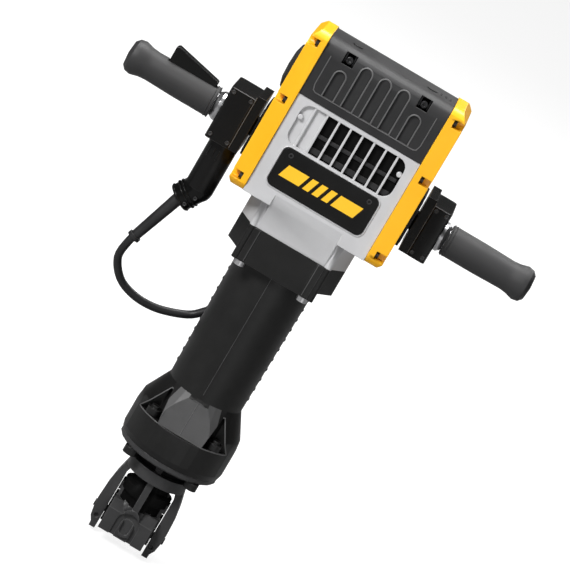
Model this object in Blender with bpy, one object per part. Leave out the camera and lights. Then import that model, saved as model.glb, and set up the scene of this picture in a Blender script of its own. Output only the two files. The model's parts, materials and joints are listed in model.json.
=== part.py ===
"""Electric jackhammer (pavement breaker), modelled in Blender.

Metres, +Z up along the tool's axis. The origin is the centre of the tool socket's mouth, at the
bottom of the nose. -Y is the front, where the label plate and the cooling grille are, and +X is the
viewer's right. The tool is shown standing up, as it does on the steel held in its socket.
"""

import math

import bmesh
import bpy
from mathutils import Matrix, Vector

MM = 0.001
TURN_STEPS = 36  # sides of the largest round shapes
GAP = 0.3 * MM  # between pieces that touch on the real tool
RUN = 0.5 * MM  # round a piece that turns or slides

# Tool socket and nose
HEX_ACROSS_FLATS = 28.6 * MM
SHANK_DEPTH = 152 * MM
NOSE_R = 34.5 * MM
NOSE_H = 45 * MM
GROOVE_R = 30 * MM
GROOVE_H = 13 * MM
WING_HALF_X = 35.8 * MM  # the ears that stand between the latch's legs
WING_HALF_Y = 10 * MM
WING_H = 66 * MM
WING_SLOT = (46 * MM, 53 * MM)
FACE_HALF_X = 33 * MM  # the nose's flat front
LEDGE_H = 15 * MM
STEM_R = 27 * MM
SPIGOT_R = 44 * MM  # the thick root of the stem, under the plate
HOLDER_H = 124 * MM  # from the mouth to the underside of the holder's plate
HOLDER_PLATE_R = 72.5 * MM
HOLDER_PLATE_T = 8 * MM
SLEEVE_R = 34 * MM
SLEEVE_H = 72.5 * MM  # above the plate, inside the barrel
HOLDER_BOLT_AT = 46 * MM  # each way from the axis
HOLDER_BOLT_R = 6 * MM

# Latch that keeps the steel in the socket
LATCH_PIVOT_Z = 17 * MM
LATCH_FOOT_Z = -11 * MM
LATCH_TOP_Z = 107 * MM
LATCH_BAR_H = 16 * MM
LATCH_BAR_T = 9 * MM
LATCH_BAR_R = 45 * MM
LATCH_LEG_T = 16 * MM
LATCH_LEG_DEPTH = 28 * MM
LATCH_PIN_R = 5 * MM

# Barrel housing
FLANGE_R = 75 * MM
FLANGE_H = 43 * MM
CONE_H = 53 * MM
TUBE_H = 194 * MM
TUBE_R_LOW = 54 * MM
TUBE_R_TOP = 57 * MM
BARREL_BORE_R = 49 * MM
POCKET_AT = 33 * MM  # half the width of the web between two bolt pockets
POCKET_OUT = 66 * MM  # the pocket's outer corner, at its floor
POCKET_TOP_X = 40 * MM
POCKET_H = 45 * MM
WEB_TOP_DROP = 6 * MM  # from the cone's top down to the top of the flat web
COLLAR_H = 49 * MM
COLLAR_HALF_X = 78 * MM
COLLAR_HALF_Y = 73 * MM
COLLAR_FACET = 57 * MM  # half the width of its front facet
COLLAR_BOLT_X = 47 * MM
COLLAR_BOLT_Y = 65 * MM
COLLAR_BOLT_R = 5 * MM

# Motor housing, top cover and side covers
NECK_H = 36 * MM
FACET_HALF_X = 50 * MM  # half the width of the sloping front of the neck
RIDGE_X = 56 * MM  # the ridges over the bolts, on the neck and on the collar
RIDGE_R = 5 * MM
HOUSING_HALF_X = 90 * MM
HOUSING_FRONT = 85 * MM
HOUSING_BACK = 75 * MM
HOUSING_H = 146 * MM
COVER_H = 84 * MM
COVER_CORNER = 24 * MM
COVER_BACK_CORNER = 84 * MM
WALL = 4 * MM
SIDE_COVER_T = 23.7 * MM
SIDE_COVER_PROUD = 3 * MM  # past the housing's front and back
SIDE_COVER_DROP = 2 * MM  # below the housing's floor
SIDE_RIM = 22 * MM  # solid rim round the side cover's hollow
SIDE_CHAMFER = 10 * MM
NOTCH_H = 11 * MM
NOTCH_IN = 15 * MM
NOTCH_DEPTH = 14 * MM
NOTCH_FROM_END = 17 * MM
VENT_HALF_X = 76.5 * MM
VENT_H = 56 * MM
VENT_UNDER_COVER = 6 * MM
VENT_CORNER = 13 * MM
VENT_BARS = 8
VENT_BAR = 3 * MM
VENT_BAR_DEPTH = 7 * MM
VENT_BLANKED = 2  # bays at the left end that a plate behind the bars closes
LABEL_HALF_X = 70.5 * MM
LABEL_H = 56 * MM
LABEL_T = 2.5 * MM
LABEL_CORNER = 9 * MM
LABEL_UNDER_VENT = 4 * MM
COVER_SCREW_X = 55 * MM
FLUTE_PITCH = 27.5 * MM
FLUTE_W = 16 * MM
FLUTE_DEPTH = 3.2 * MM
FLUTE_FROM_BOTTOM = 12 * MM
FLUTE_UNDER_TOP = 12 * MM
SHORT_FLUTE_UNDER_TOP = 32 * MM
COVER_POCKET = 16 * MM
COVER_POCKET_DROP = 15 * MM  # the pocket's middle, below the cover's top

# Motor, gears and crank
MOTOR_UNDER_TOP = 73 * MM  # the motor's axis, below the top of the cover
SHAFT_R = 6 * MM
CORE_R = 24 * MM
AIR_GAP = 1.2 * MM
FIELD_R = 46 * MM
CORE_L = 52 * MM
CORE_MIDDLE_X = -8 * MM
COMMUTATOR_R = 15 * MM
COMMUTATOR_L = 16 * MM
BRUSH_W = 9 * MM
BRUSH_L = 20 * MM
FAN_R = 38 * MM
FAN_T = 12 * MM
FAN_BLADES = 10
END_CAP_R = 34 * MM
END_CAP_OUT = 9 * MM
MODULE_1 = 2 * MM
PINION_1 = 11
GEAR_1 = 43
MODULE_2 = 2.5 * MM
PINION_2 = 11
GEAR_2 = 29
GEAR_T = 9 * MM
BACKLASH = 0.22  # share of the module taken off each tooth
STROKE = 50 * MM
CRANK_DISC_R = 36 * MM
CRANK_DISC_T = 10 * MM
CRANK_PIN_R = 8 * MM
CRANK_SHAFT_R = 10 * MM
ROD_T = 16 * MM
ROD_L = 118 * MM
WRIST_PIN_R = 6 * MM
PLATE_T = 10 * MM
CRANK_BEARING_R = 19 * MM
SMALL_BEARING_R = 14 * MM

# Hammer mechanism
CYLINDER_R = 31 * MM
CYLINDER_BORE_R = 26 * MM
PISTON_H = 45 * MM
STRIKER_H = 80 * MM
STRIKER_TRAVEL = 40 * MM
ANVIL_SHANK_R = 17 * MM
ANVIL_HEAD_R = 22 * MM
ANVIL_SHANK_H = 52 * MM
ANVIL_HEAD_H = 44 * MM
ANVIL_TRAVEL = 10 * MM
GUIDE_TOP = 105 * MM  # the guide bush's top, above the barrel's lower face

# Handles
HANDLE_UNDER_TOP = 168 * MM  # the grips' axis, below the top of the cover
BLOCK_HALF_H = 37.5 * MM
BLOCK_FRONT = 34 * MM
BLOCK_BACK = 54 * MM
BLOCK_GAP = 8 * MM  # between the side cover and the block
BLOCK_PLATE_T = 12 * MM
BLOCK_PLATE_UP = 6 * MM  # the inner plate stands higher than the block
BLOCK_L = {"left": 36 * MM, "right": 26 * MM}
GRIP_NECK = {"left": 11 * MM, "right": 10 * MM}
GRIP_L = {"left": 130 * MM, "right": 127 * MM}
GRIP_R = 21.5 * MM
GRIP_BULB_R = 24.5 * MM
GRIP_TUBE_R = 15 * MM
GRIP_TUBE_BORE_R = 10.5 * MM
LUG_HALF_T = 11 * MM
LUG_R = 12 * MM
LUG_REACH = 16 * MM  # from the side cover to the pivot's axis
LUG_ROOM = 3 * MM
MOUNT_HALF_H = 30 * MM
MOUNT_T = 5 * MM
PIVOT_PIN_R = 5 * MM

# Trigger
TRIGGER_L = 70 * MM
TRIGGER_HALF_W = 8 * MM
TRIGGER_OUT = 20.5 * MM  # how far its outer end stands above the grip
TRIGGER_IN = 5 * MM
TRIGGER_SUNK = 4 * MM
TRIGGER_FROM_NECK = 8 * MM
TRIGGER_TRAVEL_DEG = 8

# Cord
CORD_D = 11.4 * MM
ELBOW_R = 20 * MM
ELBOW_DROP = 71 * MM
ELBOW_OUT_DEG = 32
ELBOW_END_L = 30 * MM
RELIEF_R = 7.2 * MM
RELIEF_L = 80 * MM
RELIEF_LEAN_DEG = 19
HANK_FOLD_R = 35 * MM  # at the middle of the inner turns
HANK_STRAIGHT = 78 * MM
HANK_BOTTOM = 11 * MM  # above the cone's top
TIE_T = 2 * MM
TIE_H = 20 * MM
RIB_HALF_T = 5 * MM
PLUG_OVER_FLANGE = 13 * MM  # how far the hank may stand inside the flange's edge
PLUG_R = 16 * MM
PLUG_L = 42 * MM

# Heights and places that follow
PLATE_TOP = HOLDER_H + HOLDER_PLATE_T
BARREL_BOTTOM = PLATE_TOP + GAP
FLANGE_TOP = BARREL_BOTTOM + FLANGE_H
CONE_TOP = FLANGE_TOP + CONE_H
TUBE_TOP = CONE_TOP + TUBE_H
COLLAR_TOP = TUBE_TOP + COLLAR_H
NECK_BOTTOM = COLLAR_TOP + GAP
HOUSING_BOTTOM = NECK_BOTTOM + NECK_H
HOUSING_TOP = HOUSING_BOTTOM + HOUSING_H
COVER_BOTTOM = HOUSING_TOP + GAP
COVER_TOP = COVER_BOTTOM + COVER_H
SIDE_IN = HOUSING_HALF_X + GAP
SIDE_OUT = SIDE_IN + SIDE_COVER_T
SIDE_BOTTOM = HOUSING_BOTTOM - SIDE_COVER_DROP
MOTOR_Z = COVER_TOP - MOTOR_UNDER_TOP
IDLER_Z = MOTOR_Z - MODULE_1 * (PINION_1 + GEAR_1) / 2
CRANK_Z = IDLER_Z - MODULE_2 * (PINION_2 + GEAR_2) / 2
VENT_TOP = HOUSING_TOP - VENT_UNDER_COVER
VENT_BOTTOM = VENT_TOP - VENT_H
LABEL_TOP = VENT_BOTTOM - LABEL_UNDER_VENT
HANDLE_Z = COVER_TOP - HANDLE_UNDER_TOP
GUIDE_TOP_Z = BARREL_BOTTOM + GUIDE_TOP
WRIST_Z = CRANK_Z - STROKE / 2 - ROD_L

FINISHES = {
    "black_casting": ((0.022, 0.022, 0.024), 0.5, 0.0),
    "silver_casting": ((0.62, 0.62, 0.63), 0.42, 0.3),
    "yellow_plastic": ((0.95, 0.50, 0.01), 0.35, 0.0),
    "cover_plastic": ((0.03, 0.03, 0.032), 0.45, 0.0),
    "gloss_black": ((0.008, 0.008, 0.009), 0.2, 0.0),
    "grip_rubber": ((0.035, 0.035, 0.037), 0.75, 0.0),
    "cord_rubber": ((0.02, 0.02, 0.021), 0.6, 0.0),
    "steel": ((0.5, 0.5, 0.52), 0.32, 1.0),
    "dark_steel": ((0.09, 0.09, 0.095), 0.5, 0.8),
    "copper": ((0.55, 0.25, 0.12), 0.4, 1.0),
}


def clear_scene():
    for obj in list(bpy.data.objects):
        bpy.data.objects.remove(obj)


def finish_named(name):
    found = bpy.data.materials.get(name)
    if found:
        return found
    colour, roughness, metallic = FINISHES[name]
    made = bpy.data.materials.new(name)
    made.use_nodes = True
    shader = made.node_tree.nodes["Principled BSDF"]
    shader.inputs["Base Color"].default_value = (*colour, 1.0)
    shader.inputs["Roughness"].default_value = roughness
    shader.inputs["Metallic"].default_value = metallic
    return made


def object_of(name, mesh_data, finish=None):
    mesh = bpy.data.meshes.new(name)
    bmesh.ops.recalc_face_normals(mesh_data, faces=mesh_data.faces)
    mesh_data.to_mesh(mesh)
    mesh_data.free()
    mesh.shade_smooth()
    mesh.set_sharp_from_angle(angle=math.radians(35))
    obj = bpy.data.objects.new(name, mesh)
    bpy.context.scene.collection.objects.link(obj)
    if finish:
        obj.data.materials.append(finish_named(finish))
    return obj


def prism(name, outline, low, high, axis="Z", finish=None):
    """A closed outline extruded from low to high. Its points are (y, z), (x, z) or (x, y)."""
    place = {
        "X": lambda a, b, c: (c, a, b),
        "Y": lambda a, b, c: (a, c, b),
        "Z": lambda a, b, c: (a, b, c),
    }[axis]
    shape = bmesh.new()
    ring = [shape.verts.new(place(a, b, low)) for a, b in outline]
    face = shape.faces.new(ring)
    raised = bmesh.ops.extrude_face_region(shape, geom=[face])["geom"]
    step = Vector(place(0, 0, high - low))
    moved = [v for v in raised if isinstance(v, bmesh.types.BMVert)]
    bmesh.ops.translate(shape, vec=step, verts=moved)
    return object_of(name, shape, finish)


def box(name, x, y, z, finish=None):
    """A box between two x, two y and two z values."""
    outline = [(x[0], y[0]), (x[1], y[0]), (x[1], y[1]), (x[0], y[1])]
    return prism(name, outline, z[0], z[1], "Z", finish)


def turned(name, profile, steps=28, finish=None):
    """A closed profile of (radius, z) turned round the Z axis. Radius 0 lies on the axis."""
    shape = bmesh.new()
    rings = []
    for radius, z in profile:
        if radius == 0:
            rings.append([shape.verts.new((0, 0, z))] * steps)
            continue
        turn = [2 * math.pi * (k + 0.5) / steps for k in range(steps)]
        rings.append([shape.verts.new((radius * math.cos(t), radius * math.sin(t), z)) for t in turn])
    for a, b in zip(rings, rings[1:] + rings[:1]):
        for k in range(steps):
            corners = [a[k], a[(k + 1) % steps], b[(k + 1) % steps], b[k]]
            corners = list(dict.fromkeys(corners))
            if len(corners) > 2:
                shape.faces.new(corners)
    return object_of(name, shape, finish)


def turned_on(name, axis, start, profile, steps=24, finish=None):
    """A turned shape whose own axis runs from start along axis. Profile: (radius, distance)."""
    obj = turned(name, profile, steps, finish)
    obj.data.transform(Vector(axis).to_track_quat("Z", "Y").to_matrix().to_4x4())
    obj.data.transform(Matrix.Translation(Vector(start)))
    return obj


def rod(name, axis, start, radius, length, steps=24, finish=None):
    return turned_on(name, axis, start, [(0, 0), (radius, 0), (radius, length), (0, length)], steps, finish)


def sleeve(name, axis, start, outer, inner, length, steps=24, finish=None):
    wall = [(inner, 0), (outer, 0), (outer, length), (inner, length)]
    return turned_on(name, axis, start, wall, steps, finish)


def arc(centre, radius, start_deg, end_deg, steps):
    """Points on an arc, its two ends included."""
    turns = [math.radians(start_deg + (end_deg - start_deg) * k / steps) for k in range(steps + 1)]
    return [(centre[0] + radius * math.cos(t), centre[1] + radius * math.sin(t)) for t in turns]


def rounded(a, b, radius, steps=4):
    """A rectangle between a and b with round corners."""
    (x0, y0), (x1, y1) = a, b
    corners = ((x1, y0, -90), (x1, y1, 0), (x0, y1, 90), (x0, y0, 180))
    points = []
    for x, y, start in corners:
        centre = (x + (radius if x == x0 else -radius), y + (radius if y == y0 else -radius))
        points += arc(centre, radius, start, start + 90, steps)
    return points


def combine(target, other, operation):
    """A Boolean that is applied at once, and removes the other object."""
    modifier = target.modifiers.new("shape", "BOOLEAN")
    modifier.operation = operation
    modifier.solver = "EXACT"
    modifier.object = other
    bpy.context.view_layer.update()
    graph = bpy.context.evaluated_depsgraph_get()
    mesh = bpy.data.meshes.new_from_object(target.evaluated_get(graph))
    target.modifiers.clear()
    target.data = mesh
    mesh.shade_smooth()
    mesh.set_sharp_from_angle(angle=math.radians(35))
    bpy.data.objects.remove(other)


def cut(target, *cutters):
    for cutter in cutters:
        combine(target, cutter, "DIFFERENCE")


def add(target, *others):
    for other in others:
        combine(target, other, "UNION")


def bevel(obj, width, segments=2, angle=40):
    modifier = obj.modifiers.new("edges", "BEVEL")
    modifier.width = width
    modifier.segments = segments
    modifier.limit_method = "ANGLE"
    modifier.angle_limit = math.radians(angle)


def octagon(half_x, half_y, facet_x, facet_y):
    """The collar's and the neck's outline: a rectangle with cut corners."""
    quarter = [(facet_x, -half_y), (half_x, -facet_y), (half_x, facet_y), (facet_x, half_y)]
    return quarter + [(-x, y) for x, y in reversed(quarter)]


# ---------------------------------------------------------------- tool holder and latch


def tool_holder():
    """The forged nose with its hexagonal socket, its plate, and the sleeve above it."""
    ledge_bottom = NOSE_H + GROOVE_H
    ledge_top = ledge_bottom + LEDGE_H
    profile = [
        (0, 0),
        (NOSE_R - 3 * MM, 0),
        (NOSE_R, 3 * MM),
        (NOSE_R, NOSE_H - 8 * MM),
        (GROOVE_R, NOSE_H),
        (GROOVE_R, ledge_bottom),
        (NOSE_R, ledge_bottom + 2 * MM),
        (NOSE_R, ledge_top),
        (STEM_R, ledge_top + 4 * MM),
        (STEM_R, HOLDER_H - 16 * MM),
        (SPIGOT_R - 2 * MM, HOLDER_H - 11 * MM),
        (SPIGOT_R, HOLDER_H),
        (HOLDER_PLATE_R - 2 * MM, HOLDER_H),
        (HOLDER_PLATE_R, HOLDER_H + 2 * MM),
        (HOLDER_PLATE_R, PLATE_TOP),
        (SLEEVE_R, PLATE_TOP),
        (SLEEVE_R, PLATE_TOP + SLEEVE_H),
        (0, PLATE_TOP + SLEEVE_H),
    ]
    holder = turned("tool_holder", profile, 24, "dark_steel")
    add(holder, box("wings", (-WING_HALF_X, WING_HALF_X), (-WING_HALF_Y, WING_HALF_Y), (3 * MM, WING_H)))
    for side in (-1, 1):
        xs = sorted((side * (NOSE_R - 2 * MM), side * (WING_HALF_X + 5 * MM)))
        cut(holder, box("wing_slot", xs, (-WING_HALF_Y - 5 * MM, WING_HALF_Y + 5 * MM), WING_SLOT))
    face_y = -NOSE_R - 0.5 * MM
    face = [(face_y, 0), (face_y, NOSE_H - 12 * MM), (face_y + 12 * MM, NOSE_H), (-14 * MM, NOSE_H), (-14 * MM, 0)]
    add(holder, prism("face", face, -FACE_HALF_X, FACE_HALF_X, "X"))
    rib_front = -NOSE_R - 1 * MM
    rib_half = 4.6 * MM
    add(holder, box("rib", (-rib_half, rib_half), (rib_front, -STEM_R + 8 * MM), (NOSE_H - 12 * MM, HOLDER_H + 2 * MM)))
    boss = rounded((-12 * MM, 4 * MM), (12 * MM, NOSE_H), 11.9 * MM)
    add(holder, prism("boss", boss, -NOSE_R - 3 * MM, -NOSE_R + 12 * MM, "Y"))
    hollow = rounded((-7 * MM, 8 * MM), (7 * MM, NOSE_H - 6 * MM), 6.9 * MM)
    cut(holder, prism("hollow", hollow, -NOSE_R - 5 * MM, -NOSE_R + 1.5 * MM, "Y"))
    corner = HEX_ACROSS_FLATS / math.sqrt(3)
    hexagon = [(corner * math.cos(k * math.pi / 3), corner * math.sin(k * math.pi / 3)) for k in range(6)]
    cut(holder, prism("socket", hexagon, -5 * MM, SHANK_DEPTH))
    bore_r = ANVIL_SHANK_R + RUN
    cut(holder, rod("anvil_bore", (0, 0, 1), (0, 0, SHANK_DEPTH - 1 * MM), bore_r, SLEEVE_H + HOLDER_H, 32))
    for side in (-1, 1):
        seat = (side * (NOSE_R - 12 * MM), 0, LATCH_PIVOT_Z)
        cut(holder, rod("pin_seat", (side, 0, 0), seat, LATCH_PIN_R + GAP, 20 * MM, 20))
        for way in (-1, 1):
            hole = (side * HOLDER_BOLT_AT, way * HOLDER_BOLT_AT, HOLDER_H - 5 * MM)
            cut(holder, rod("bolt_hole", (0, 0, 1), hole, HOLDER_BOLT_R + GAP, 20 * MM, 16))


def latch_fork():
    """The U-shaped latch: two legs on pins at the nose, joined by a bar in front of the stem."""
    inner = NOSE_R + 2 * MM
    outer = inner + LATCH_LEG_T
    bar_bottom = LATCH_TOP_Z - LATCH_BAR_H
    bar_inner = LATCH_BAR_R - LATCH_BAR_T
    outline = arc((0, 0), LATCH_BAR_R, 200, 340, 20) + arc((0, 0), bar_inner, 340, 200, 20)
    fork = prism("latch_fork", outline, bar_bottom, LATCH_TOP_Z, "Z", "dark_steel")
    half = LATCH_LEG_DEPTH / 2
    rise = LATCH_TOP_Z - LATCH_PIVOT_Z
    for side in (-1, 1):
        leg = [
            (side * inner, LATCH_FOOT_Z),
            (side * (inner + 8.5 * MM), LATCH_FOOT_Z),
            (side * (inner + 9 * MM), LATCH_FOOT_Z + 7 * MM),
            (side * (outer - 3 * MM), LATCH_PIVOT_Z - 14 * MM),
            (side * (outer - 0.5 * MM), LATCH_PIVOT_Z),
            (side * outer, LATCH_PIVOT_Z + 0.15 * rise),
            (side * (outer - 1 * MM), LATCH_PIVOT_Z + 0.36 * rise),
            (side * (outer - 4 * MM), LATCH_PIVOT_Z + 0.59 * rise),
            (side * (outer - 9 * MM), LATCH_PIVOT_Z + 0.83 * rise),
            (side * (inner + 1 * MM), LATCH_TOP_Z),
            (side * (inner - 4 * MM), LATCH_TOP_Z),
            (side * (inner - 4 * MM), bar_bottom + 2 * MM),
            (side * inner, bar_bottom - 12 * MM),
        ]
        add(fork, prism("leg", leg, -half, half, "Y"))
        hole = (side * (inner - 5 * MM), 0, LATCH_PIVOT_Z)
        cut(fork, rod("pin_hole", (side, 0, 0), hole, LATCH_PIN_R + RUN, 30 * MM, 20))
        start = (side * (NOSE_R - 12 * MM + GAP), 0, LATCH_PIVOT_Z)
        length = outer - NOSE_R + 12 * MM + 1 * MM
        name = "latch_pin_left" if side < 0 else "latch_pin_right"
        rod(name, (side, 0, 0), start, LATCH_PIN_R, length, 12, "steel")
    room = STEM_R + 8 * MM
    cut(fork, rod("stem_room", (0, 0, 1), (0, 0, bar_bottom - 40 * MM), room, 80 * MM, 32))


def holder_bolts():
    """Four screws, each with its nut in a pocket, that hold the tool holder to the barrel."""
    head_h = 10 * MM
    head_r = 10 * MM
    nut_low = head_h + GAP + FLANGE_TOP - HOLDER_H + GAP
    for k, (x, y) in enumerate(((-1, -1), (1, -1), (1, 1), (-1, 1)), 1):
        start = Vector((x * HOLDER_BOLT_AT, y * HOLDER_BOLT_AT, HOLDER_H - GAP - head_h))
        profile = [
            (0, 0),
            (head_r, 0),
            (head_r, head_h),
            (HOLDER_BOLT_R, head_h),
            (HOLDER_BOLT_R, nut_low),
            (head_r, nut_low),
            (head_r, nut_low + head_h),
            (HOLDER_BOLT_R, nut_low + head_h),
            (HOLDER_BOLT_R, nut_low + head_h + 4 * MM),
            (0, nut_low + head_h + 4 * MM),
        ]
        turned_on(f"holder_bolt_{k}", (0, 0, 1), start, profile, 12, "dark_steel")


# ---------------------------------------------------------------- barrel


def barrel_housing():
    """One casting: the flange, the cone with its four bolt pockets, the tube, and the collar."""
    guide_r = SLEEVE_R + 2.3 * MM
    bore_step = GUIDE_TOP_Z + 6 * MM
    profile = [
        (guide_r, BARREL_BOTTOM),
        (FLANGE_R - 2 * MM, BARREL_BOTTOM),
        (FLANGE_R, BARREL_BOTTOM + 8 * MM),
        (FLANGE_R, FLANGE_TOP),
        (FLANGE_R - 2 * MM, FLANGE_TOP + 0.3 * CONE_H),
        (TUBE_R_LOW, CONE_TOP),
        (TUBE_R_TOP, TUBE_TOP),
        (TUBE_R_TOP, COLLAR_TOP),
        (BARREL_BORE_R, COLLAR_TOP),
        (BARREL_BORE_R, bore_step),
        (guide_r, bore_step),
    ]
    barrel = turned("barrel_housing", profile, TURN_STEPS, "black_casting")
    skirt_bottom = TUBE_TOP + 12 * MM
    outline = octagon(COLLAR_HALF_X, COLLAR_HALF_Y, COLLAR_FACET, 35 * MM)
    collar = prism("collar", outline, skirt_bottom, COLLAR_TOP)
    front = octagon(COLLAR_FACET, COLLAR_HALF_Y, COLLAR_FACET - 10 * MM, 20 * MM)
    add(collar, prism("front_skirt", front, TUBE_TOP, COLLAR_TOP - 1 * MM))
    cut(collar, rod("bore", (0, 0, 1), (0, 0, TUBE_TOP - 5 * MM), BARREL_BORE_R + 2 * MM, 80 * MM, TURN_STEPS))
    for x in (-RIDGE_X, RIDGE_X):
        ridge_start = (x, -COLLAR_HALF_Y + 2 * MM, TUBE_TOP)
        add(collar, rod("ridge", (0, 0, 1), ridge_start, RIDGE_R, COLLAR_H - 0.5 * MM, 12))
    add(barrel, collar)
    bosses = []
    for x in (-COLLAR_BOLT_X, COLLAR_BOLT_X):
        for y in (-COLLAR_BOLT_Y, COLLAR_BOLT_Y):
            bosses.append(rod("boss", (0, 0, 1), (x, y, TUBE_TOP), 10 * MM, COLLAR_H - 1 * MM, 16))
    add(barrel, *bosses)
    for x in (-COLLAR_BOLT_X, COLLAR_BOLT_X):
        for y in (-COLLAR_BOLT_Y, COLLAR_BOLT_Y):
            start = (x, y, TUBE_TOP - 5 * MM)
            cut(barrel, rod("bolt_hole", (0, 0, 1), start, COLLAR_BOLT_R + GAP, COLLAR_H + 20 * MM, 12))
    for x in (-1, 1):
        for y in (-1, 1):
            ys = sorted((y * POCKET_AT, y * (FLANGE_R + 10 * MM)))
            outline = [
                (x * POCKET_AT, FLANGE_TOP),
                (x * POCKET_OUT, FLANGE_TOP),
                (x * POCKET_TOP_X, FLANGE_TOP + POCKET_H),
                (x * (POCKET_TOP_X - 2 * MM), FLANGE_TOP + POCKET_H),
            ]
            pocket = prism("pocket", outline, ys[0], ys[1], "Y")
            core = rod("core", (0, 0, 1), (0, 0, BARREL_BOTTOM), TUBE_R_LOW - 0.5 * MM, 200 * MM, TURN_STEPS)
            cut(pocket, core)
            cut(barrel, pocket)
            hole = (x * HOLDER_BOLT_AT, y * HOLDER_BOLT_AT, BARREL_BOTTOM - 5 * MM)
            cut(barrel, rod("bolt_hole", (0, 0, 1), hole, HOLDER_BOLT_R + GAP, FLANGE_H + 20 * MM, 12))
    web_top = CONE_TOP - WEB_TOP_DROP
    front = -FLANGE_R - 10 * MM
    over_web = [(front, FLANGE_TOP), (-FLANGE_R + 0.5 * MM, FLANGE_TOP), (-TUBE_R_LOW - 1.5 * MM, web_top)]
    over_web += [(-TUBE_R_LOW - 1.5 * MM, web_top + 10 * MM), (front, web_top + 10 * MM)]
    cut(barrel, prism("over_web", over_web, -POCKET_AT - 0.5 * MM, POCKET_AT + 0.5 * MM, "X"))
    tie_z = hank_middle_z()
    slot_y = hank_front_y() - GAP
    rib = box(
        "rib",
        (-RIB_HALF_T, RIB_HALF_T),
        (TUBE_R_LOW - 3 * MM, slot_y + 4 * MM),
        (tie_z - TIE_H, tie_z + TIE_H),
    )
    add(barrel, rib)
    slot = box(
        "strap_slot",
        (-2 * RIB_HALF_T, 2 * RIB_HALF_T),
        (slot_y - TIE_T - GAP, slot_y + GAP),
        (tie_z - TIE_H / 2 - GAP, tie_z + TIE_H / 2 + GAP),
    )
    cut(barrel, slot)


def collar_bolts():
    names = iter(("collar_bolt_1", "collar_bolt_2", "collar_bolt_3", "collar_bolt_4"))
    head_h = 7 * MM
    for x in (-COLLAR_BOLT_X, COLLAR_BOLT_X):
        for y in (-COLLAR_BOLT_Y, COLLAR_BOLT_Y):
            start = (x, y, TUBE_TOP - GAP - head_h)
            length = head_h + COLLAR_H - 2 * MM
            profile = [
                (0, 0),
                (8 * MM, 0),
                (8 * MM, head_h),
                (COLLAR_BOLT_R, head_h),
                (COLLAR_BOLT_R, length),
                (0, length),
            ]
            turned_on(next(names), (0, 0, 1), start, profile, 12, "steel")


# ---------------------------------------------------------------- motor housing and covers


def motor_housing():
    """The silver casting: a box that is open at its top and sides, over the neck."""
    front, back = -HOUSING_FRONT, HOUSING_BACK
    half = HOUSING_HALF_X
    shell = box("motor_housing", (-half, half), (front, back), (HOUSING_BOTTOM, HOUSING_TOP), "silver_casting")
    room = box(
        "room",
        (-half - 5 * MM, half + 5 * MM),
        (front + WALL, back - WALL),
        (HOUSING_BOTTOM + WALL, HOUSING_TOP + 5 * MM),
    )
    cut(shell, room)
    outline = octagon(COLLAR_HALF_X, COLLAR_HALF_Y, COLLAR_FACET, 35 * MM)
    add(shell, prism("neck", outline, NECK_BOTTOM, HOUSING_BOTTOM + WALL / 2))
    slope = [
        (front + 0.05 * MM, HOUSING_BOTTOM + WALL / 3),
        (-COLLAR_HALF_Y + 0.05 * MM, NECK_BOTTOM),
        (-COLLAR_HALF_Y + 20 * MM, NECK_BOTTOM),
        (-COLLAR_HALF_Y + 20 * MM, HOUSING_BOTTOM + WALL / 3),
    ]
    add(shell, prism("slope", slope, -FACET_HALF_X, FACET_HALF_X, "X"))
    for x in (-RIDGE_X, RIDGE_X):
        ridge = rod("ridge", (0, 0, 1), (x, -COLLAR_HALF_Y + 2 * MM, NECK_BOTTOM), RIDGE_R, NECK_H + WALL / 2 - 1 * MM, 12)
        add(shell, ridge)
    bore = rod("neck_bore", (0, 0, 1), (0, 0, NECK_BOTTOM - 5 * MM), BARREL_BORE_R, NECK_H + 20 * MM, TURN_STEPS)
    cut(shell, bore)
    pitch = (2 * VENT_HALF_X + VENT_BAR) / (VENT_BARS + 1)
    outline = rounded((-VENT_HALF_X, VENT_BOTTOM), (VENT_HALF_X, VENT_TOP), VENT_CORNER, 4)
    for wall_y, inward in ((front, 1), (back, -1)):
        cut(shell, prism("vent", outline, wall_y - 10 * MM, wall_y + 10 * MM, "Y"))
        ys = sorted((wall_y + inward * 0.5 * MM, wall_y + inward * VENT_BAR_DEPTH))
        for k in range(1, VENT_BARS + 1):
            left = -VENT_HALF_X + k * pitch - VENT_BAR
            bar = box("bar", (left, left + VENT_BAR), ys, (VENT_BOTTOM - 2 * MM, VENT_TOP + 2 * MM))
            add(shell, bar)
        blank_y = sorted((wall_y + inward * (VENT_BAR_DEPTH - 2 * MM), wall_y + inward * (VENT_BAR_DEPTH + 1 * MM)))
        blank_x = (-VENT_HALF_X - 4 * MM, -VENT_HALF_X + VENT_BLANKED * pitch - 1 * MM)
        add(shell, box("blank", blank_x, blank_y, (VENT_BOTTOM - 3 * MM, VENT_TOP + 3 * MM)))


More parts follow.
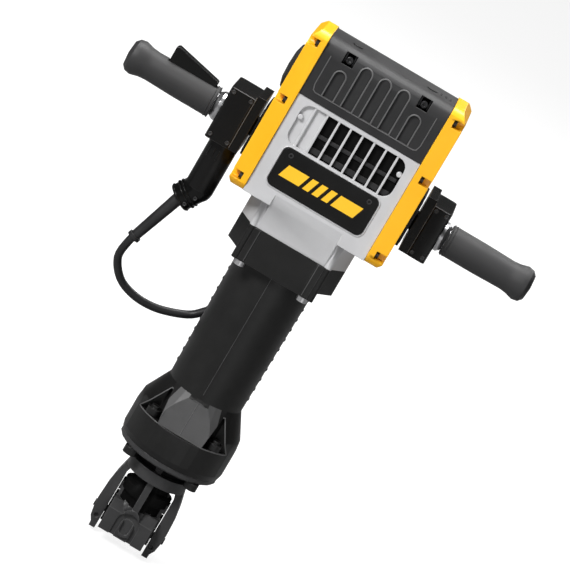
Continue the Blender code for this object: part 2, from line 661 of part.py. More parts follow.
def top_cover():
    """The black lid over the motor, with a pocket for each of its two front screws."""
    front, back = -HOUSING_FRONT - 1 * MM, HOUSING_BACK + 1 * MM
    def shell_outline(inset):
        f, b, t = front + inset, back - inset, COVER_TOP - inset
        radius = COVER_CORNER - inset
        large = COVER_BACK_CORNER - inset
        low = COVER_BOTTOM
        right = arc((b - large, t - large), large, 0, 90, 12)
        left = arc((f + radius, t - radius), radius, 90, 180, 6)
        return [(f, low), (b, low)] + right + left

    half = HOUSING_HALF_X
    cover = prism("top_cover", shell_outline(0), -half, half, "X", "cover_plastic")
    inside = [(y, z if z > COVER_BOTTOM else COVER_BOTTOM - 5 * MM) for y, z in shell_outline(WALL)]
    cut(cover, prism("inside", inside, -half - 5 * MM, half + 5 * MM, "X"))
    middle = COVER_TOP - COVER_POCKET_DROP
    for x in (-COVER_SCREW_X, COVER_SCREW_X):
        h = COVER_POCKET / 2
        pocket = box("pocket", (x - h, x + h), (front - 5 * MM, front + 16 * MM), (middle - h, middle + h))
        cut(cover, pocket)
    low = COVER_BOTTOM + FLUTE_FROM_BOTTOM
    for k in range(-2, 3):
        x = k * FLUTE_PITCH
        high = COVER_TOP - (FLUTE_UNDER_TOP if abs(k) < 2 else SHORT_FLUTE_UNDER_TOP)
        half_w = FLUTE_W / 2
        flute = [(x + half_w, low), *arc((x, high - half_w), half_w, 0, 180, 8), (x - half_w, low)]
        cut(cover, prism("flute", flute, front - 5 * MM, front + FLUTE_DEPTH, "Y"))


def notch_heights():
    """The middles of the three screw notches on each edge of a side cover."""
    low = SIDE_BOTTOM + NOTCH_FROM_END
    high = COVER_TOP - NOTCH_FROM_END
    return (low, low + 0.575 * (high - low), high)


def cover_outline(front, back, bottom, top, radii):
    """A side cover seen from the side: radii run front-bottom, back-bottom, back-top, front-top."""
    a, b, c, d = radii
    points = arc((back - b, bottom + b), b, -90, 0, 4)
    points += arc((back - c, top - c), c, 0, 90, 12)
    points += arc((front + d, top - d), d, 90, 180, 4)
    return points + arc((front + a, bottom + a), a, 180, 270, 4)


def side_cover(side):
    """A yellow end cover: a thick rim with screw notches, hollow inside."""
    name = "side_cover_left" if side < 0 else "side_cover_right"
    front, back = -HOUSING_FRONT - SIDE_COVER_PROUD, HOUSING_BACK + SIDE_COVER_PROUD
    top = COVER_TOP + SIDE_COVER_DROP
    corners = (16 * MM, 16 * MM, COVER_BACK_CORNER + SIDE_COVER_PROUD - 1 * MM, 16 * MM)
    outline = cover_outline(front, back, SIDE_BOTTOM, top, corners)
    xs = sorted((side * SIDE_IN, side * SIDE_OUT))
    cover = prism(name, outline, xs[0], xs[1], "X", "yellow_plastic")
    for z, sign in ((SIDE_BOTTOM, -1), (top, 1)):
        size = SIDE_CHAMFER if sign > 0 else 0.6 * SIDE_CHAMFER
        tall = 1.5 * size
        wedge = [
            (side * (SIDE_OUT + 1 * MM), z - sign * (tall + 1 * MM)),
            (side * (SIDE_OUT + 1 * MM), z + sign * 2 * MM),
            (side * (SIDE_OUT - size), z + sign * 2 * MM),
            (side * (SIDE_OUT - size), z),
            (side * SIDE_OUT, z - sign * tall),
        ]
        cut(cover, prism("chamfer", wedge, front - 5 * MM, back + 5 * MM, "Y"))
    corners = (10 * MM, 10 * MM, corners[2] - SIDE_RIM, 10 * MM)
    r = SIDE_RIM
    hollow = cover_outline(front + r, back - r, SIDE_BOTTOM + r, top - r, corners)
    xs = sorted((side * (SIDE_IN - 5 * MM), side * (SIDE_OUT - WALL)))
    cut(cover, prism("hollow", hollow, xs[0], xs[1], "X"))
    h = NOTCH_H / 2
    xs = sorted((side * (SIDE_OUT - NOTCH_IN), side * (SIDE_OUT + 5 * MM)))
    for z in notch_heights():
        cut(cover, box("notch", xs, (front - 5 * MM, front + NOTCH_DEPTH), (z - h, z + h)))
        if z < top - corners[2] - SIDE_RIM:
            cut(cover, box("notch", xs, (back - NOTCH_DEPTH, back + 5 * MM), (z - h, z + h)))
    if side < 0:
        start = (-SIDE_OUT - 5 * MM, 0, MOTOR_Z)
        cut(cover, rod("cap_hole", (1, 0, 0), start, END_CAP_R - 4 * MM + GAP, 20 * MM, 32))


def end_cap():
    """The round cap over the motor's outer bearing, standing out of the left cover."""
    start = (-SIDE_OUT + WALL + 6 * MM, 0, MOTOR_Z)
    seat = WALL + 6 * MM
    inner = END_CAP_R - 4 * MM
    profile = [
        (SMALL_BEARING_R + GAP, 0),
        (inner, 0),
        (inner, seat + GAP),
        (END_CAP_R, seat + GAP),
        (END_CAP_R - 4 * MM, seat + 0.55 * END_CAP_OUT),
        (0.55 * END_CAP_R, seat + 0.88 * END_CAP_OUT),
        (0, seat + END_CAP_OUT),
        (0, seat),
        (SMALL_BEARING_R + GAP, seat),
    ]
    turned_on("motor_end_cap", (-1, 0, 0), start, profile, 32, "cover_plastic")


def label_plate():
    outline = rounded((-LABEL_HALF_X, LABEL_TOP - LABEL_H), (LABEL_HALF_X, LABEL_TOP), LABEL_CORNER, 5)
    face = -HOUSING_FRONT - GAP
    plate = prism("label_plate", outline, face - LABEL_T, face, "Y", "gloss_black")
    bevel(plate, 0.8 * MM, 1)


# ---------------------------------------------------------------- motor, gears and crank


def gear_outline(teeth, module, phase_deg):
    """Teeth with straight flanks between an involute's root and tip, one of them at phase_deg."""
    pitch_r = module * teeth / 2
    base_r = pitch_r * math.cos(math.radians(20))
    root_r = pitch_r - 1.3 * module
    tip_r = pitch_r + 0.95 * module
    half_at_pitch = (math.pi / 2 - BACKLASH) / teeth

    def involute(radius):
        roll = math.sqrt(max(0, (radius / base_r) ** 2 - 1))
        return roll - math.atan(roll)

    at_pitch = involute(pitch_r)
    halves = [
        (root_r, 0.9 * (half_at_pitch + at_pitch)),
        (tip_r, half_at_pitch + at_pitch - involute(tip_r)),
    ]
    points = []
    for k in range(teeth):
        middle = math.radians(phase_deg) + 2 * math.pi * k / teeth
        turns = [(r, middle - h) for r, h in halves] + [(r, middle + h) for r, h in reversed(halves)]
        points += [(r * math.cos(t), r * math.sin(t)) for r, t in turns]
    return points


def gear_on(name, teeth, module, phase_deg, low_x, z):
    outline = [(a, b + z) for a, b in gear_outline(teeth, module, phase_deg)]
    return prism(name, outline, low_x, low_x + GEAR_T, "X")


GEAR_PLATE_X = 44 * MM
GEAR_1_X = GEAR_PLATE_X + PLATE_T + 18 * MM
GEAR_2_X = GEAR_PLATE_X + PLATE_T + 4 * MM
CRANK_WEB_X = 22 * MM
CRANK_DISC_X = CRANK_WEB_X - CRANK_DISC_T - 1 * MM


def motor():
    """The armature with its pinion, its core, its commutator and its fan, and the field round it."""
    along = (1, 0, 0)
    left_end = -SIDE_OUT + WALL + 7 * MM
    right_end = GEAR_1_X + GEAR_T + 2 * MM
    shaft = rod("armature_shaft", along, (left_end, 0, MOTOR_Z), SHAFT_R, right_end - left_end, 16, "steel")
    add(shaft, gear_on("pinion", PINION_1, MODULE_1, -90, GEAR_1_X, MOTOR_Z))
    core_x = CORE_MIDDLE_X - CORE_L / 2
    bore = SHAFT_R + GAP
    sleeve("armature_core", along, (core_x, 0, MOTOR_Z), CORE_R, bore, CORE_L, 20, "dark_steel")
    commutator_x = core_x - 10 * MM - COMMUTATOR_L
    start = (commutator_x, 0, MOTOR_Z)
    sleeve("commutator", along, start, COMMUTATOR_R, bore, COMMUTATOR_L, 16, "copper")
    fan_x = CORE_MIDDLE_X + CORE_L / 2 + 6 * MM
    hub_r = SHAFT_R + 5 * MM
    back_t = 2 * MM
    profile = [(bore, 0), (FAN_R, 0), (FAN_R, back_t), (hub_r, back_t), (hub_r, FAN_T), (bore, FAN_T)]
    fan = turned_on("cooling_fan", along, (fan_x, 0, MOTOR_Z), profile, 24, "cover_plastic")
    for k in range(FAN_BLADES):
        blade = box(
            "blade",
            (fan_x + 1 * MM, fan_x + FAN_T),
            (-0.8 * MM, 0.8 * MM),
            (SHAFT_R + 3 * MM, FAN_R - 1 * MM),
        )
        blade.data.transform(Matrix.Rotation(2 * math.pi * k / FAN_BLADES, 4, "X"))
        blade.data.transform(Matrix.Translation((0, 0, MOTOR_Z)))
        add(fan, blade)
    field = sleeve("field_core", along, (core_x, 0, MOTOR_Z), FIELD_R, CORE_R + AIR_GAP, CORE_L, 28, "dark_steel")
    bevel(field, 2 * MM, 1, 60)
    for side, name in ((-1, "brush_front"), (1, "brush_back")):
        ys = sorted((side * (COMMUTATOR_R + GAP), side * (COMMUTATOR_R + BRUSH_L)))
        middle = commutator_x + COMMUTATOR_L / 2
        h = BRUSH_W / 2
        box(name, (middle - h, middle + h), ys, (MOTOR_Z - h, MOTOR_Z + h), "copper")
    bearing_x = left_end + 1 * MM
    bearing = 9 * MM
    sleeve("motor_bearing_left", along, (bearing_x, 0, MOTOR_Z), SMALL_BEARING_R, bore, bearing, 16, "steel")
    start = (GEAR_PLATE_X, 0, MOTOR_Z)
    sleeve("motor_bearing_right", along, start, SMALL_BEARING_R, bore, PLATE_T, 16, "steel")


def gear_train():
    """The idler with its two gears, and the crankshaft with its gear, on the gear plate."""
    along = (1, 0, 0)
    start_x = GEAR_PLATE_X + 1 * MM
    length = GEAR_1_X + GEAR_T + 2 * MM - start_x
    idler = rod("idler_gear", along, (start_x, 0, IDLER_Z), SHAFT_R, length, 16, "steel")
    add(idler, gear_on("wheel", GEAR_1, MODULE_1, 90 + 180 / GEAR_1, GEAR_1_X, IDLER_Z))
    add(idler, gear_on("pinion", PINION_2, MODULE_2, -90, GEAR_2_X, IDLER_Z))
    crank = rod("crankshaft", along, (CRANK_DISC_X, 0, CRANK_Z), CRANK_DISC_R, CRANK_DISC_T, 32, "steel")
    shaft_l = GEAR_2_X + GEAR_T + 2 * MM - CRANK_DISC_X
    add(crank, rod("shaft", along, (CRANK_DISC_X + 1 * MM, 0, CRANK_Z), CRANK_SHAFT_R, shaft_l, 20))
    add(crank, gear_on("wheel", GEAR_2, MODULE_2, 90 + 180 / GEAR_2, GEAR_2_X, CRANK_Z))
    bore = CRANK_SHAFT_R + GAP
    for name, x in (("crank_bearing_inner", CRANK_WEB_X), ("crank_bearing_outer", GEAR_PLATE_X)):
        sleeve(name, along, (x, 0, CRANK_Z), CRANK_BEARING_R, bore, PLATE_T, 16, "steel")
    depth = max(WALL, VENT_BAR_DEPTH + 1 * MM)
    inside_y = (-HOUSING_FRONT + depth + GAP, HOUSING_BACK - depth - GAP)
    floor = HOUSING_BOTTOM + WALL + GAP
    plate_top = MOTOR_Z + SMALL_BEARING_R + 10 * MM
    xs = (GEAR_PLATE_X, GEAR_PLATE_X + PLATE_T)
    y0, y1 = inside_y
    clear = COVER_BACK_CORNER / 3
    outline = [(y0, floor), (y1, floor), (y1, plate_top - clear), (y1 - clear, plate_top), (y0, plate_top)]
    plate = prism("gear_plate", outline, xs[0], xs[1], "X", "silver_casting")
    below = (GEAR_PLATE_X - 5 * MM, 0)
    for z, radius in ((MOTOR_Z, SMALL_BEARING_R), (IDLER_Z, SHAFT_R + RUN), (CRANK_Z, CRANK_BEARING_R)):
        cut(plate, rod("bore", along, (*below, z), radius + GAP, 30 * MM, 24))
    web_top = CRANK_Z + CRANK_BEARING_R + 14 * MM
    xs = (CRANK_WEB_X, CRANK_WEB_X + PLATE_T)
    web = box("crank_web", xs, inside_y, (floor, web_top), "silver_casting")
    cut(web, rod("bore", along, (CRANK_WEB_X - 5 * MM, 0, CRANK_Z), CRANK_BEARING_R + GAP, 30 * MM, 24))


def crank_and_rod():
    """The connecting rod, its wrist pin and the piston, at the bottom of the stroke.

    The crank pin stops short of the rod, because the linkage is open there."""
    along = (1, 0, 0)
    pin_z = CRANK_Z - STROKE / 2
    half = ROD_T / 2
    middle_x = CRANK_DISC_X - GAP - half - 4 * MM
    rod_r = {"big": CRANK_PIN_R + 6 * MM, "small": WRIST_PIN_R + 5 * MM}
    start_x = middle_x - half
    rod_body = rod("connecting_rod", along, (start_x, 0, pin_z), rod_r["big"], ROD_T, 24, "steel")
    add(rod_body, rod("small_end", along, (start_x, 0, WRIST_Z), rod_r["small"], ROD_T, 24))
    shank = box("shank", (middle_x - 5 * MM, middle_x + 5 * MM), (-6 * MM, 6 * MM), (WRIST_Z, pin_z))
    add(rod_body, shank)
    cut(rod_body, rod("bore", along, (start_x - 5 * MM, 0, pin_z), CRANK_PIN_R + GAP, ROD_T + 10 * MM, 20))
    cut(rod_body, rod("bore", along, (start_x - 5 * MM, 0, WRIST_Z), WRIST_PIN_R + RUN, ROD_T + 10 * MM, 20))
    pin_start = (start_x + ROD_T + RUN, 0, pin_z)
    pin = rod("crank_pin", along, pin_start, CRANK_PIN_R, CRANK_DISC_X - pin_start[0] + 3 * MM, 20)
    add(bpy.data.objects["crankshaft"], pin)
    piston_r = CYLINDER_BORE_R - GAP
    low = WRIST_Z - 0.55 * PISTON_H
    piston = rod("piston", (0, 0, 1), (0, 0, low), piston_r, PISTON_H, 32, "steel")
    slot = (middle_x - half - 2 * MM, middle_x + half + 2 * MM)
    room = (WRIST_Z - rod_r["small"] - 2 * MM, low + PISTON_H + 5 * MM)
    cut(piston, box("rod_slot", slot, (-rod_r["small"] - 3 * MM, rod_r["small"] + 3 * MM), room))
    reach = 0.8 * piston_r
    cut(piston, rod("pin_bore", along, (-reach - GAP, 0, WRIST_Z), WRIST_PIN_R + GAP, 2 * reach + 2 * GAP, 20))
    rod("wrist_pin", along, (-reach, 0, WRIST_Z), WRIST_PIN_R, 2 * reach, 12, "steel")


# ---------------------------------------------------------------- hammer mechanism


def hammer():
    """The cylinder, the striker that flies in it, and the anvil that carries the blow to the steel."""
    up = (0, 0, 1)
    bottom = GUIDE_TOP_Z + 6 * MM + GAP
    top = HOUSING_BOTTOM - 4 * MM
    flange_r = BARREL_BORE_R - GAP
    profile = [
        (CYLINDER_BORE_R, 0),
        (flange_r, 0),
        (flange_r, 6 * MM),
        (CYLINDER_R, 6 * MM),
        (CYLINDER_R, top - bottom - 12 * MM),
        (flange_r, top - bottom - 6 * MM),
        (flange_r, top - bottom),
        (CYLINDER_BORE_R, top - bottom),
    ]
    turned_on("cylinder", up, (0, 0, bottom), profile, 24, "steel")
    anvil_bottom = SHANK_DEPTH + 1 * MM
    shank_top = anvil_bottom + ANVIL_SHANK_H
    anvil_top = shank_top + ANVIL_HEAD_H
    profile = [
        (0, anvil_bottom),
        (ANVIL_SHANK_R - 2 * MM, anvil_bottom),
        (ANVIL_SHANK_R, anvil_bottom + 2 * MM),
        (ANVIL_SHANK_R, shank_top),
        (ANVIL_HEAD_R, shank_top + 3 * MM),
        (ANVIL_HEAD_R, anvil_top - 4 * MM),
        (ANVIL_SHANK_R, anvil_top),
        (0, anvil_top),
    ]
    turned("anvil", profile, 24, "steel")
    guide_bottom = max(shank_top + 4 * MM, PLATE_TOP + SLEEVE_H + GAP)
    guide_r = SLEEVE_R + 2.3 * MM - GAP
    sleeve(
        "anvil_guide",
        up,
        (0, 0, guide_bottom),
        guide_r,
        ANVIL_HEAD_R + RUN,
        GUIDE_TOP_Z - guide_bottom,
        32,
        "steel",
    )
    striker_bottom = anvil_top + ANVIL_TRAVEL + 2 * MM
    radius = CYLINDER_BORE_R - GAP
    profile = [
        (0, 0),
        (radius - 6 * MM, 0),
        (radius, 8 * MM),
        (radius, STRIKER_H),
        (0, STRIKER_H),
    ]
    turned_on("striker", up, (0, 0, striker_bottom), profile, 24, "steel")


# ---------------------------------------------------------------- handles


def handle(which):
    """The sprung handle: a block that rocks on a lug of the mount, and the rubber grip on its tube."""
    side = -1 if which == "left" else 1
    along = (side, 0, 0)
    block_in = SIDE_OUT + BLOCK_GAP
    plate_out = block_in + BLOCK_PLATE_T
    block_out = plate_out + BLOCK_L[which]
    pivot_x = SIDE_OUT + LUG_REACH
    low, high = HANDLE_Z - BLOCK_HALF_H, HANDLE_Z + BLOCK_HALF_H

    # The mount: a plate on the side cover with a round-ended lug.
    reach = pivot_x - SIDE_OUT - GAP
    lug = [(side * (SIDE_OUT + GAP), HANDLE_Z - LUG_R), (side * pivot_x, HANDLE_Z - LUG_R)]
    lug += [(side * (pivot_x + a), HANDLE_Z + b) for a, b in arc((0, 0), LUG_R, -80, 80, 8)]
    lug += [(side * pivot_x, HANDLE_Z + LUG_R), (side * (SIDE_OUT + GAP), HANDLE_Z + LUG_R)]
    mount = prism(f"{which}_handle_mount", lug, -LUG_HALF_T, LUG_HALF_T, "Y", "dark_steel")
    xs = sorted((side * (SIDE_OUT + GAP), side * (SIDE_OUT + GAP + MOUNT_T)))
    base_y = (-BLOCK_FRONT + 6 * MM, BLOCK_BACK - 10 * MM)
    add(mount, box("base", xs, base_y, (HANDLE_Z - MOUNT_HALF_H, HANDLE_Z + MOUNT_HALF_H)))
    pivot = (side * pivot_x, 0, HANDLE_Z)
    hole_start = (pivot[0], -40 * MM, HANDLE_Z)
    cut(mount, rod("bore", (0, 1, 0), hole_start, PIVOT_PIN_R + RUN, 80 * MM, 20))

    # The block: an inner plate and a deeper box, hollow where the lug enters.
    xs = sorted((side * (plate_out - 1 * MM), side * block_out))
    outline = rounded((xs[0], -BLOCK_FRONT), (xs[1], BLOCK_BACK), 5 * MM, 2)
    block = prism(f"{which}_handle_block", outline, low, high, "Z", "gloss_black")
    xs = sorted((side * block_in, side * plate_out))
    add(block, box("plate", xs, (-BLOCK_FRONT + 1 * MM, BLOCK_BACK - 2 * MM), (low, high + BLOCK_PLATE_UP)))
    room = LUG_R + LUG_ROOM
    xs = sorted((side * (block_in - 5 * MM), side * (pivot_x + room)))
    ys = (-LUG_HALF_T - RUN, LUG_HALF_T + RUN)
    cut(block, box("lug_room", xs, ys, (HANDLE_Z - room, HANDLE_Z + room)))
    pin_half = LUG_HALF_T + 14 * MM
    start = (pivot[0], -pin_half - GAP, HANDLE_Z)
    cut(block, rod("pin_seat", (0, 1, 0), start, PIVOT_PIN_R + GAP, 2 * pin_half + 2 * GAP, 20))
    rod(f"{which}_pivot_pin", (0, 1, 0), (pivot[0], -pin_half, HANDLE_Z), PIVOT_PIN_R, 2 * pin_half, 12, "steel")

    # The tube, and the grip with its bulb.
    neck = GRIP_NECK[which]
    grip_l = GRIP_L[which]
    tube_start = (side * (block_out + GAP), 0, HANDLE_Z)
    flange_r = 21 * MM
    tube_end = neck + grip_l - 12 * MM
    profile = [
        (GRIP_TUBE_BORE_R, 0),
        (flange_r, 0),
        (flange_r, 4 * MM),
        (GRIP_TUBE_R + 2 * MM, neck - 1 * MM),
        (GRIP_TUBE_R, neck - 1 * MM),
        (GRIP_TUBE_R, tube_end),
        (GRIP_TUBE_BORE_R, tube_end),
    ]
    tube = turned_on(f"{which}_grip_tube", along, tube_start, profile, 18, "gloss_black")
    grip_start = (side * (block_out + neck), 0, HANDLE_Z)
    inner = GRIP_TUBE_R + GAP
    profile = [
        (inner, 0),
        (GRIP_R - 1 * MM, 0),
        (GRIP_R, 2 * MM),
        (GRIP_R, 0.40 * grip_l),
        (GRIP_R - 1 * MM, 0.72 * grip_l),
        (GRIP_R, grip_l - 26 * MM),
        (GRIP_BULB_R, grip_l - 15 * MM),
        (GRIP_BULB_R - 1.5 * MM, grip_l - 7 * MM),
        (GRIP_BULB_R - 7 * MM, grip_l - 2 * MM),
        (0, grip_l),
        (0, grip_l - 10 * MM),
        (inner, grip_l - 10 * MM),
    ]
    grip = turned_on(f"{which}_grip", along, grip_start, profile, 22, "grip_rubber")
    if which == "left":
        slot_room(grip, block_out + neck)
        slot_room(tube, block_out + neck)


def trigger_place(grip_in):
    """(x nearest the block, x furthest out, the height of its foot, the grip's top)."""
    inner = grip_in + TRIGGER_FROM_NECK
    foot = HANDLE_Z + GRIP_R - TRIGGER_SUNK
    return inner, inner + TRIGGER_L, foot, HANDLE_Z + GRIP_R


def slot_room(piece, grip_in):
    """Cuts the slot that the trigger sinks into when it is pulled."""
    inner, outer, foot, top = trigger_place(grip_in)
    depth = TRIGGER_L * math.sin(math.radians(TRIGGER_TRAVEL_DEG)) + 1.5 * MM
    xs = (-outer - 1.5 * MM, -inner + 2 * MM)
    ys = (-TRIGGER_HALF_W - RUN, TRIGGER_HALF_W + RUN)
    cut(piece, box("trigger_slot", xs, ys, (foot - depth, top + 20 * MM)))


def trigger():
    """The paddle switch lever on top of the left grip. It turns at its inner end."""
    grip_in = SIDE_OUT + BLOCK_GAP + BLOCK_PLATE_T + BLOCK_L["left"] + GRIP_NECK["left"]
    inner, outer, foot, top = trigger_place(grip_in)
    outline = [
        (-inner, foot),
        (-inner, top + TRIGGER_IN),
        (-inner - 2 * MM, top + TRIGGER_IN + 1.2 * MM),
        (-outer + 3 * MM, top + TRIGGER_OUT),
        (-outer, top + TRIGGER_OUT - 2 * MM),
        (-outer, foot),
    ]
    lever = prism("trigger", outline, -TRIGGER_HALF_W, TRIGGER_HALF_W, "Y", "cover_plastic")
    bevel(lever, 1.2 * MM, 2)


# ---------------------------------------------------------------- cord


def relief_frame():
    """(where the elbow turns, the way it then runs, the relief's start and its end)."""
    block_in = SIDE_OUT + BLOCK_GAP
    x = -(block_in + BLOCK_PLATE_T + BLOCK_L["left"] - ELBOW_R - 7 * MM)
    turn = Vector((x, 0, HANDLE_Z - BLOCK_HALF_H - ELBOW_DROP))
    a = math.radians(ELBOW_OUT_DEG)
    way = Vector((-math.sin(a), 0, -math.cos(a)))
    start = turn + way * (ELBOW_END_L + GAP)
    b = math.radians(RELIEF_LEAN_DEG)
    lean = Vector((-math.sin(b), 0, -math.cos(b)))
    return turn, way, start, start + lean * RELIEF_L, lean


def cord_outlet():
    """The elbow under the left handle's block, and the rubber strain relief that leaves it."""
    turn, way, start, _, lean = relief_frame()
    top = HANDLE_Z - BLOCK_HALF_H - GAP
    elbow = rod("cord_elbow", (0, 0, -1), (turn.x, 0, top), ELBOW_R, top - turn.z, 24, "gloss_black")
    knee = bmesh.new()
    bmesh.ops.create_uvsphere(knee, u_segments=24, v_segments=12, radius=ELBOW_R - 0.2 * MM)
    knee_obj = object_of("knee", knee)
    knee_obj.data.transform(Matrix.Translation(turn))
    add(elbow, knee_obj)
    add(elbow, rod("end", way, turn, ELBOW_R - 1 * MM, ELBOW_END_L, 24))
    profile = [
        (0, 0),
        (RELIEF_R + 1.5 * MM, 0),
        (RELIEF_R, RELIEF_L - 5 * MM),
        (RELIEF_R + 2.2 * MM, RELIEF_L - 5 * MM),
        (RELIEF_R + 2.2 * MM, RELIEF_L),
        (0, RELIEF_L),
    ]
    clear_of_elbow = start + lean * (ELBOW_R * math.sin(math.radians(ELBOW_OUT_DEG - RELIEF_LEAN_DEG)) * 0.45)
    turned_on("strain_relief", lean, clear_of_elbow, profile, 20, "cord_rubber")
    return clear_of_elbow + lean * RELIEF_L


def hank_front_y():
    """The hank's side that faces the barrel, with room for the tie between them."""
    return max(TUBE_R_TOP + TIE_T + 3 * MM, FLANGE_R - PLUG_OVER_FLANGE)


def hank_middle_z():
    return CONE_TOP + HANK_BOTTOM + HANK_FOLD_R + 1.5 * CORD_D + HANK_STRAIGHT / 2


def stadium(radius, middle_z):
    """Two straight runs joined by half circles, in the XZ plane."""
    half = HANK_STRAIGHT / 2
    return arc((0, middle_z + half), radius, 0, 180, 12) + arc((0, middle_z - half), radius, 180, 360, 12)


def cord_hank():
    """The spare cord folded into a hank behind the barrel, its tie, and the plug below it."""
    front = hank_front_y()
    middle_z = hank_middle_z()
    depth = 3 * CORD_D
    outer = HANK_FOLD_R + 1.5 * CORD_D
    inner = HANK_FOLD_R - 0.5 * CORD_D
    hank = prism("cord_hank", stadium(outer, middle_z), front, front + depth, "Y", "cord_rubber")
    cut(hank, prism("middle", stadium(inner, middle_z), front - 5 * MM, front + depth + 5 * MM, "Y"))
    clear = GAP + TIE_T
    xs = (-outer - clear, outer + clear)
    tie = prism(
        "cord_tie",
        rounded((xs[0], front - clear), (xs[1], front + depth + clear), 3 * MM, 2),
        middle_z - TIE_H / 2,
        middle_z + TIE_H / 2,
        "Z",
        "cord_rubber",
    )
    inside_y = (front - GAP, front + depth + GAP)
    cut(tie, box("inside", (-outer - GAP, outer + GAP), inside_y, (middle_z - TIE_H, middle_z + TIE_H)))
    tail_x = HANK_FOLD_R + 3 * MM
    tail_y = front + depth - CORD_D / 2
    fold_drop = math.sqrt(outer**2 - (tail_x - CORD_D / 2) ** 2)
    tail_top = middle_z - HANK_STRAIGHT / 2 - fold_drop - GAP
    tail_l = 8 * MM
    profile = [
        (0, 0),
        (CORD_D / 2, 0),
        (CORD_D / 2, tail_l),
        (CORD_D / 2 + 1.5 * MM, tail_l),
        (CORD_D / 2 + 2 * MM, tail_l + 0.28 * PLUG_L),
        (PLUG_R, tail_l + 0.42 * PLUG_L),
        (PLUG_R, tail_l + PLUG_L),
        (0, tail_l + PLUG_L),
    ]
    plug = turned_on("plug", (0, 0, -1), (tail_x, tail_y, tail_top), profile, 20, "cord_rubber")
    face = tail_top - tail_l - PLUG_L
    for x in (-6.4 * MM, 6.4 * MM):
        xs = (tail_x + x - 0.8 * MM, tail_x + x + 0.8 * MM)
        blade = box("blade", xs, (tail_y - 3.2 * MM, tail_y + 3.2 * MM), (face - 16 * MM, face + 2 * MM))
        add(plug, blade)
    add(plug, rod("earth_pin", (0, 0, -1), (tail_x, tail_y + 10 * MM, face + 2 * MM), 2.4 * MM, 20 * MM, 10))


def smooth_line(points, step):
    """Points about step apart on a smooth curve through the given ones."""
    ends = [2 * points[0] - points[1]] + points + [2 * points[-1] - points[-2]]
    line = []
    for k in range(1, len(ends) - 2):
        a, b, c, d = ends[k - 1 : k + 3]
        count = max(2, round((c - b).length / step))
        for i in range(count):
            t = i / count
            line.append(
                0.5 * (2 * b + (c - a) * t + (2 * a - 5 * b + 4 * c - d) * t**2 + (3 * b - a - 3 * c + d) * t**3)
            )
    return line + [points[-1]]


def cord(start):
    """The free stretch: it hangs in a loop from the strain relief to the hank's left side."""
    hank_side = -(HANK_FOLD_R + 1.5 * CORD_D) - 1.5 * GAP
    hank_y = hank_front_y() + 1.5 * CORD_D
    end_z = hank_middle_z() - HANK_STRAIGHT / 2 + 5 * MM
    _, _, _, _, lean = relief_frame()
    route = [
        start + lean * GAP,
        start + lean * 7 * MM,
        Vector((-190.5, 9, 323)) * MM,
        Vector((-174, 24, 295)) * MM,
        Vector((-148, 37, 281)) * MM,
        Vector((-119, 50, 277)) * MM,
        Vector((-92, 62, 281)) * MM,
        Vector((hank_side - 18 * MM, hank_y - 5 * MM, end_z - 5 * MM)),
        Vector((hank_side - 7 * MM, hank_y, end_z)),
        Vector((hank_side, hank_y, end_z)),
    ]
    curve = bpy.data.curves.new("cord", "CURVE")
    curve.dimensions = "3D"
    curve.bevel_depth = CORD_D / 2
    curve.bevel_resolution = 2
    curve.use_fill_caps = True
    points = [route[0]] + smooth_line(route[1:-1], 2.2 * CORD_D) + [route[-1]]
    spline = curve.splines.new("POLY")
    spline.points.add(len(points) - 1)
    for place, point in zip(spline.points, points):
        place.co = (*point, 1)
    obj = bpy.data.objects.new("cord", curve)
    bpy.context.scene.collection.objects.link(obj)
    curve.materials.append(finish_named("cord_rubber"))


clear_scene()
tool_holder()
latch_fork()
holder_bolts()
barrel_housing()
collar_bolts()
motor_housing()
top_cover()
side_cover(-1)
side_cover(1)
end_cap()
label_plate()
motor()
gear_train()
crank_and_rod()
hammer()
handle("left")
handle("right")
trigger()
relief_end = cord_outlet()
cord_hank()
cord(relief_end)
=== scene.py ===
import json
import math

import bpy
from mathutils import Matrix, Vector

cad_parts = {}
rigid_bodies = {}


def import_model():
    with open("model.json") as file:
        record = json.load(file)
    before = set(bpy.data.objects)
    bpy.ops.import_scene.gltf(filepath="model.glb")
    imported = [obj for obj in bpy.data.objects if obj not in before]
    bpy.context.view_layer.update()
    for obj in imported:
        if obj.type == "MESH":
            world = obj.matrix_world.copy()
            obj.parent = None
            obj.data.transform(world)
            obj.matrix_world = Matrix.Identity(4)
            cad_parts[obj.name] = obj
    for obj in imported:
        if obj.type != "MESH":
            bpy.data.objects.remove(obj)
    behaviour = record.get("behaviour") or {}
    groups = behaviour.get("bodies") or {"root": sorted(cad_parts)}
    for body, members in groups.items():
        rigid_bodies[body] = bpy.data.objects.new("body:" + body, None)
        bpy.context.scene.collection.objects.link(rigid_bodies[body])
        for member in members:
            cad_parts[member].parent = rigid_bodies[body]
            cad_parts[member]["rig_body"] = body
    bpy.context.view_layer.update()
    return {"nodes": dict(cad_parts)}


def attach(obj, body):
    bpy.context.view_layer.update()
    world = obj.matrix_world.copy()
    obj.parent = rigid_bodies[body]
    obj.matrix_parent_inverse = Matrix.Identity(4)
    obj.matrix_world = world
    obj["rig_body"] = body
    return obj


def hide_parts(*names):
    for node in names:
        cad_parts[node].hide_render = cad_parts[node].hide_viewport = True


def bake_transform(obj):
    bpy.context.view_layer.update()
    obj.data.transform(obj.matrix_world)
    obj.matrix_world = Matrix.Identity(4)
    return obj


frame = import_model()

# ------------------------------------------------------------------------------ studio
# The tool stands on its nose on a seamless pale floor that curves up into a wall far
# behind it. One large soft light stands to the front left, a wide one hangs overhead, and a
# weaker one fills the right side.
MM = 0.001
FLOOR_Z = -0.016
FLOOR_RADIUS = 9.0
WALL_CURVE = 3.0

bpy.ops.object.select_all(action="DESELECT")


